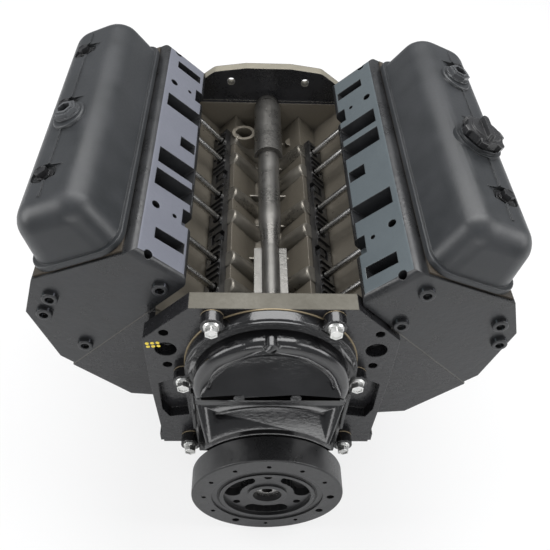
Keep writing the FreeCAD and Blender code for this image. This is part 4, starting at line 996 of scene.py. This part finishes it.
class FrontCover(Assembly):
    """The timing cover and its six flange bolts, modelled facing up and turned to the front."""

    sizes = FrontCoverSizes()
    screws = ScrewSizes(head=6.7, low=2.2, high=8.4, rim=1.6, dish=0.9, shank=3.3, reach=26)

    def places(self) -> list[tuple[float, float]]:
        """Both sides' screw places."""
        return [(side * x, y) for side in (-1, 1) for x, y in self.sizes.screws]

    def form(self, name: str, foot: float, waist: float, radius: float, centre: float, low: float,
             high: float, base: float) -> bpy.types.Object:
        """A drum over a tapered foot, as one solid.

        Args:
            name: the object's name.
            foot: half width at the bottom.
            waist: half width at the waist.
            radius: the drum's radius.
            centre: the drum's height.
            low: rear face.
            high: front face.
            base: height of the bottom edge.

        Returns:
            The object.
        """
        size = self.sizes
        body = Bench.block(name, (-waist, base, low), (waist, size.waist_height, high))
        Bench.stretch(body, lambda p: p.y < base + 1, (foot / waist, 1, 1), (0, 0, 0))
        return Bench.combine(body, [Bench.drum("drum", radius, low, high, 0, centre, 128)], "UNION")

    def ring(self, radius: float, width: float, low: float, high: float, centre: float,
             floor: float) -> bpy.types.Object:
        """A raised arc: a ring kept above a height."""
        ring = Bench.drum("arc", radius, low, high, 0, centre, 96)
        hole = Bench.drum("hole", radius - width, low - 5, high + 5, 0, centre, 96)
        under = Bench.block("under", (-120, -120, low - 6), (120, floor, high + 6))
        return Bench.combine(ring, [hole, under], "DIFFERENCE")

    def shell(self) -> bpy.types.Object:
        """The cover with its bell, arcs, ribs and bosses."""
        size = self.sizes
        plate = self.form("plate", size.foot, size.waist, size.radius, size.centre, size.back, size.step, 0)
        Bench.round_edges(plate, lambda p: p.z > size.step - 0.1, 2.0, 3)
        bell = self.form("bell", size.bell_foot, size.bell_waist, size.bell, size.bell_centre, size.step - 3,
                         size.front, 2)
        Bench.round_edges(bell, lambda p: p.z > size.front - 0.1, 7.0, 5)
        added = [bell,
                 self.ring(size.radius - 1.5, 3.0, size.step - 2, size.step + 1.8, size.centre,
                           size.centre + 10),
                 self.ring(64.0, 2.6, size.front - 2, size.front + 1.4, 154, 165),
                 self.ring(120.0, 3.0, size.front - 2, size.front + 1.8, 10, 116),
                 self.ring(83.8, 5.2, size.front - 3, size.front + 5.0, 0, 46)]
        added.append(Bench.drum("knob", 6.5, size.front - 9, size.front + 1.5, -2.5, 228, 32))
        for x, y in ((-32, 144.5), (25, 145)):
            added.append(Bench.drum("dimple", 5.5, size.front - 2, size.front + 1.0, x, y, 32))
        for x, y in self.places():
            boss = Bench.drum("boss", 11, size.back, size.step + 0.01, x, y, 40)
            Bench.round_edges(boss, lambda p: p.z > size.step - 0.5, 1.0, 2)
            added.append(boss)
            inner, outer = sorted((x, x * 0.82))
            added.append(Bench.block("tower", (inner, y - 4, size.back), (outer, y + 4, size.step - 2)))
        for side in (-1, 1):
            middle = side * size.rib_line
            added.append(Bench.block("rib", (middle - 1.6, 62, size.step - 2),
                                     (middle + 1.6, 132, size.step + 6)))
        added.append(Bench.drum("neck", 37, size.front - 1, size.front + 2.99, 0, 0, 64))
        Bench.combine(plate, added, "UNION")
        cuts = [Bench.drum("seal_mouth", 30, 400, 480, sides=64),
                Bench.drum("room", 70, 400, 450, 0, 150, 64),
                Bench.block("room_foot", (-60, -20, 400), (60, 140, 446))]
        cuts += [Bench.drum("screw_way", 3.6, 400, 480, x, y, 24) for x, y in self.places()]
        cuts += [Bench.drum("screw_spot", 9.6, size.step, 480, x, y, 32) for x, y in self.places()]
        Bench.combine(plate, cuts, "DIFFERENCE")
        return Bench.crisp(plate, 1.0, 2, 30)

    def screw(self) -> bpy.types.Object:
        """A flange bolt standing on its seat."""
        skirt = Bench.drum("skirt", 8.4, 0, 2.6, sides=40)
        Bench.stretch(skirt, lambda p: p.z > 2, (0.84, 0.84, 1), (0, 0, 0))
        return Bench.crisp(Bench.join(Bench.screw(self.screws) + [skirt]), 0.35, 2)

    def build(self) -> None:
        """Build, place and dress the cover and its bolts."""
        front = LAYOUT.face()
        cover = Bench.move(self.shell(), front)
        self.settle(cover, "front_cover", "block", Finishes.FRONT, "front_cover_paint", ["timing_cover"])
        spots = [front @ Matrix.Translation((x, y, self.sizes.step)) for x, y in self.places()]
        screws = Bench.repeat(self.screw(), spots, "screws")
        self.settle(screws, "front_cover_screws", "block", Finishes.ZINC, "zinc", ["timing_cover_bolts"])


class BlockDetails(Assembly):
    """Detail that stands on the block and heads: columns, ribs, end bosses and paint dots."""

    def valley_columns(self) -> bpy.types.Object:
        """Half columns down the valley walls, one at each lifter."""
        column = Bench.drum("column", 12.5, 104, 161.5, 92, 0, 32)
        Bench.round_edges(column, lambda p: p.z > 161, 3.0, 3)
        spots = [LAYOUT.bank(side) @ Matrix.Translation((0, line, 0))
                 for side in Side for line in LAYOUT.valves]
        return Bench.crisp(Bench.repeat(column, spots, "columns"), 0.0)

    def valley_ribs(self) -> bpy.types.Object:
        """Low cross ribs over the valley floor."""
        rib = Bench.block("rib", (-34, -3.5, 148), (34, 3.5, 158))
        Bench.stretch(rib, lambda p: p.z > 157, (0.75, 0.5, 1), (0, 0, 0))
        Bench.round_edges(rib, lambda p: p.z > 157, 1.4, 2)
        spots = [Matrix.Translation((0, y, 0)) for y in (-50, -106, -162, -218, -274, -330, -386)]
        return Bench.crisp(Bench.repeat(rib, spots, "ribs"), 0.0)

    def tray_ribs(self) -> bpy.types.Object:
        """Narrow cross ribs on both lifter guides, left out where a pushrod or a bolt stands."""
        rib = Bench.block("rib", (69, -1.5, 168.6), (90, 1.5, 171))
        Bench.stretch(rib, lambda p: p.z > 170, (0.94, 0.6, 1), (79.5, 0, 0))
        kept = [-144 + 9 * step for step in range(33)]
        kept = [y for y in kept if all(abs(y - line) > 8 for line in LAYOUT.valves) and abs(abs(y) - 56) > 11]
        spots = [LAYOUT.bank(side) @ Matrix.Translation((0, y, 0)) for side in Side for y in kept]
        return Bench.crisp(Bench.repeat(rib, spots, "tray_ribs"), 0.0)

    def end_bosses(self) -> bpy.types.Object:
        """Tapped bosses on the front ends of both heads."""
        boss = Bench.drum("boss", 8, -2, 5, sides=40)
        Bench.round_edges(boss, lambda p: p.z > 4.5, 1.4, 3)
        Bench.step_face(boss, lambda p: p.z > 4.9, 2.2, (0, 0, -5))
        spots = []
        for side, depth, places in ((Side.LEFT, 394.1, ((92, 245), (6, 310), (-17, 301), (-30, 243))),
                                    (Side.RIGHT, 416.5, ((84.6, 283.6), (64, 240), (-4, 309.5), (-30, 294)))):
            for across, up in places:
                x = side.turn * (across - up) * math.cos(math.radians(LAYOUT.half_vee))
                height = (across + up) * math.sin(math.radians(LAYOUT.half_vee))
                spots.append(LAYOUT.face() @ Matrix.Translation((x, height, depth)))
        return Bench.crisp(Bench.repeat(boss, spots, "end_bosses"), 0.0)

    def paint_dots(self) -> bpy.types.Object:
        """Six daubs of yellow paint beside the left water port."""
        dot = Bench.drum("dot", 2.0, 424.8, 425.3, sides=20)
        Bench.round_edges(dot, lambda p: p.z > 425.2, 0.25, 2)
        front = LAYOUT.face()
        first, second = Vector((5.2, 0.6, 0)), Vector((-0.6, 5.0, 0))
        start = Vector((-121.6, 186, 0))
        spots = [front @ Matrix.Translation(start + first * column + second * row)
                 for column in range(3) for row in range(2)]
        return Bench.crisp(Bench.repeat(dot, spots, "dots"), 0.0)

    def build(self) -> None:
        """Build and dress the block's added detail."""
        self.settle(self.valley_columns(), "valley_columns", "block", Finishes.IRON, "bare_iron")
        self.settle(self.valley_ribs(), "valley_ribs", "block", Finishes.IRON, "bare_iron")
        self.settle(self.tray_ribs(), "tray_ribs", "block", Finishes.PLASTIC, "black_plastic")
        self.settle(self.end_bosses(), "end_bosses", "block", Finishes.HEAD, "head_paint")
        self.settle(self.paint_dots(), "paint_dots", "block", Finishes.PAINT_DOT, "gasket_sheet")


class CadFinishes(Assembly):
    """Finishes of the CAD nodes that stay in view."""

    groups: tuple[tuple[Finish, tuple[str, ...]], ...] = (
        (Finishes.BLOCK, ("cylinder_block", "core_plugs")),
        (Finishes.HEAD, ("cylinder_head_left", "cylinder_head_right")),
        (Finishes.IRON, ("main_bearing_caps", "rear_seal_housing", "camshaft")),
        (Finishes.BEARING, ("main_bearing_shells", "camshaft_bearings")),
        (Finishes.SHAFT, ("balance_shaft",)),
        (Finishes.RUBBER, ("rear_main_seal", "front_seal", "damper_rubber")),
        (Finishes.DAMPER, ("damper_ring", "damper_hub")),
        (Finishes.FRONT, ("timing_cover",)),
        (Finishes.GASKET, ("timing_cover_gasket",)),
        (Finishes.HEAD_GASKET, ("head_gasket_left", "head_gasket_right")),
        (Finishes.DARK_GASKET, ("valve_cover_gaskets",)),
        (Finishes.ZINC, ("timing_cover_bolts",)),
        (Finishes.PLASTIC, ("lifter_guides",)),
        (Finishes.COVER, ("valve_cover_left", "valve_cover_right")),
        (Finishes.FITTING, ("breather_fitting_left", "breather_fitting_right")),
        (Finishes.CAP, ("oil_filler_cap",)),
        (Finishes.BLACK_BOLT, ("main_cap_bolts", "head_bolts", "lifter_guide_bolts", "valve_cover_bolts",
                               "cam_sprocket_bolt", "balance_gear_bolt")),
    )

    def build(self) -> None:
        """Dress every node: steel unless a group names something else."""
        table = {name: finish for finish, names in self.groups for name in names}
        for name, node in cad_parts.items():
            finish = table.get(name, Finishes.STEEL)
            if name.startswith("piston_"):
                finish = Finishes.ALLOY
            self.paints.dress(node, finish)
        LOG.info("dressed %d nodes", len(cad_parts))


@dataclass
class Studio:
    """Floor, lamps, world and camera. Lengths are in metres."""

    floor_height: float = -0.0852
    eye: tuple[float, float, float] = (-0.02496, -0.82245, 0.71978)
    yaw: float = 3.46
    pitch: float = -47.10
    roll: float = 3.20
    focal: float = 670.10
    picture: float = 550.0

    def floor(self) -> None:
        """A plain pale floor that shows white to the camera and keeps the shadow."""
        bpy.ops.object.select_all(action="DESELECT")
        bpy.ops.mesh.primitive_plane_add(size=14, location=(0, 0, self.floor_height))
        plane = bpy.context.object
        plane.name = "studio_floor"
        wiring = Wiring("pale_floor")
        plain = wiring.node("ShaderNodeBsdfDiffuse")
        wiring.feed(plain.inputs["Color"], (0.86, 0.86, 0.86))
        glow = wiring.node("ShaderNodeEmission")
        wiring.feed(glow.inputs["Color"], (1.0, 1.0, 1.0))
        rays = wiring.node("ShaderNodeLightPath")
        seen = wiring.maths("MULTIPLY", rays.outputs["Is Camera Ray"], 0.72)
        mix = wiring.node("ShaderNodeMixShader")
        wiring.feed(mix.inputs[0], seen)
        wiring.feed(mix.inputs[1], plain.outputs[0])
        wiring.feed(mix.inputs[2], glow.outputs[0])
        out = wiring.node("ShaderNodeOutputMaterial")
        wiring.feed(out.inputs["Surface"], mix.outputs[0])
        plane.data.materials.append(wiring.material)

    def world(self) -> None:
        """A soft grey sky that shows white to the camera."""
        world = bpy.data.worlds.new("studio")
        bpy.context.scene.world = world
        world.use_nodes = True
        tree = world.node_tree
        tree.nodes.clear()
        rays = tree.nodes.new("ShaderNodeLightPath")
        soft = tree.nodes.new("ShaderNodeBackground")
        soft.inputs[0].default_value = (0.95, 0.97, 1.0, 1)
        soft.inputs[1].default_value = 0.42
        white = tree.nodes.new("ShaderNodeBackground")
        white.inputs[0].default_value = (1, 1, 1, 1)
        seen = tree.nodes.new("ShaderNodeMath")
        seen.operation = "MAXIMUM"
        tree.links.new(rays.outputs["Is Camera Ray"], seen.inputs[0])
        tree.links.new(rays.outputs["Is Transmission Ray"], seen.inputs[1])
        mix = tree.nodes.new("ShaderNodeMixShader")
        out = tree.nodes.new("ShaderNodeOutputWorld")
        tree.links.new(seen.outputs[0], mix.inputs[0])
        tree.links.new(soft.outputs[0], mix.inputs[1])
        tree.links.new(white.outputs[0], mix.inputs[2])
        tree.links.new(mix.outputs[0], out.inputs[0])

    def lamp(self, name: str, place: Point, aim: Point, size: tuple[float, float], power: float) -> None:
        """An area lamp.

        Args:
            name: the lamp's name.
            place: where it stands.
            aim: what it points at.
            size: its width and height.
            power: its power in watts.
        """
        data = bpy.data.lights.new(name, "AREA")
        data.shape = "RECTANGLE"
        data.size, data.size_y = size
        data.energy = power
        lamp = bpy.data.objects.new(name, data)
        lamp.location = place
        lamp.rotation_euler = (Vector(aim) - Vector(place)).to_track_quat("-Z", "Y").to_euler()
        bpy.context.scene.collection.objects.link(lamp)

    def camera(self) -> None:
        """The camera that stands where the photograph was taken."""
        yaw, pitch, roll = (math.radians(angle) for angle in (self.yaw, self.pitch, self.roll))
        ahead = Vector((math.sin(yaw) * math.cos(pitch), math.cos(yaw) * math.cos(pitch), math.sin(pitch)))
        level = Vector((math.cos(yaw), -math.sin(yaw), 0))
        up = level.cross(ahead)
        right = level * math.cos(roll) + up * math.sin(roll)
        up = up * math.cos(roll) - level * math.sin(roll)
        data = bpy.data.cameras.new("photo_camera")
        data.sensor_width = 36.0
        data.lens = 36.0 * self.focal / self.picture
        data.clip_start = 0.01
        camera = bpy.data.objects.new("photo_camera", data)
        turn = Matrix((right, up, -ahead)).transposed().to_4x4()
        camera.matrix_world = Matrix.Translation(self.eye) @ turn
        bpy.context.scene.collection.objects.link(camera)
        bpy.context.scene.camera = camera

    def build(self) -> None:
        """Set up the whole studio."""
        self.floor()
        self.world()
        self.lamp("top_soft", (0.1, 0.5, 1.6), (0, -0.2, 0.2), (1.6, 0.9), 26)
        self.lamp("left_soft", (-1.5, -0.3, 1.0), (0, -0.25, 0.15), (0.8, 1.4), 16)
        self.lamp("right_soft", (1.5, -0.4, 1.1), (0, -0.25, 0.15), (0.8, 1.4), 16)
        self.lamp("front_soft", (0.0, -1.9, 0.8), (0, -0.4, 0.1), (1.4, 0.5), 9)
        self.camera()
        bpy.context.scene.view_settings.view_transform = "Standard"


def main() -> None:
    """Build the studio and every sub-assembly in order."""
    logging.basicConfig(level=logging.INFO, format="%(name)s: %(message)s")
    Studio().build()
    paints = Paintbox()
    CadFinishes(paints).build()
    for kind in (ValveCovers, Damper, FrontCover, BlockDetails):
        kind(paints).build()


if __name__ == "__main__":
    main()
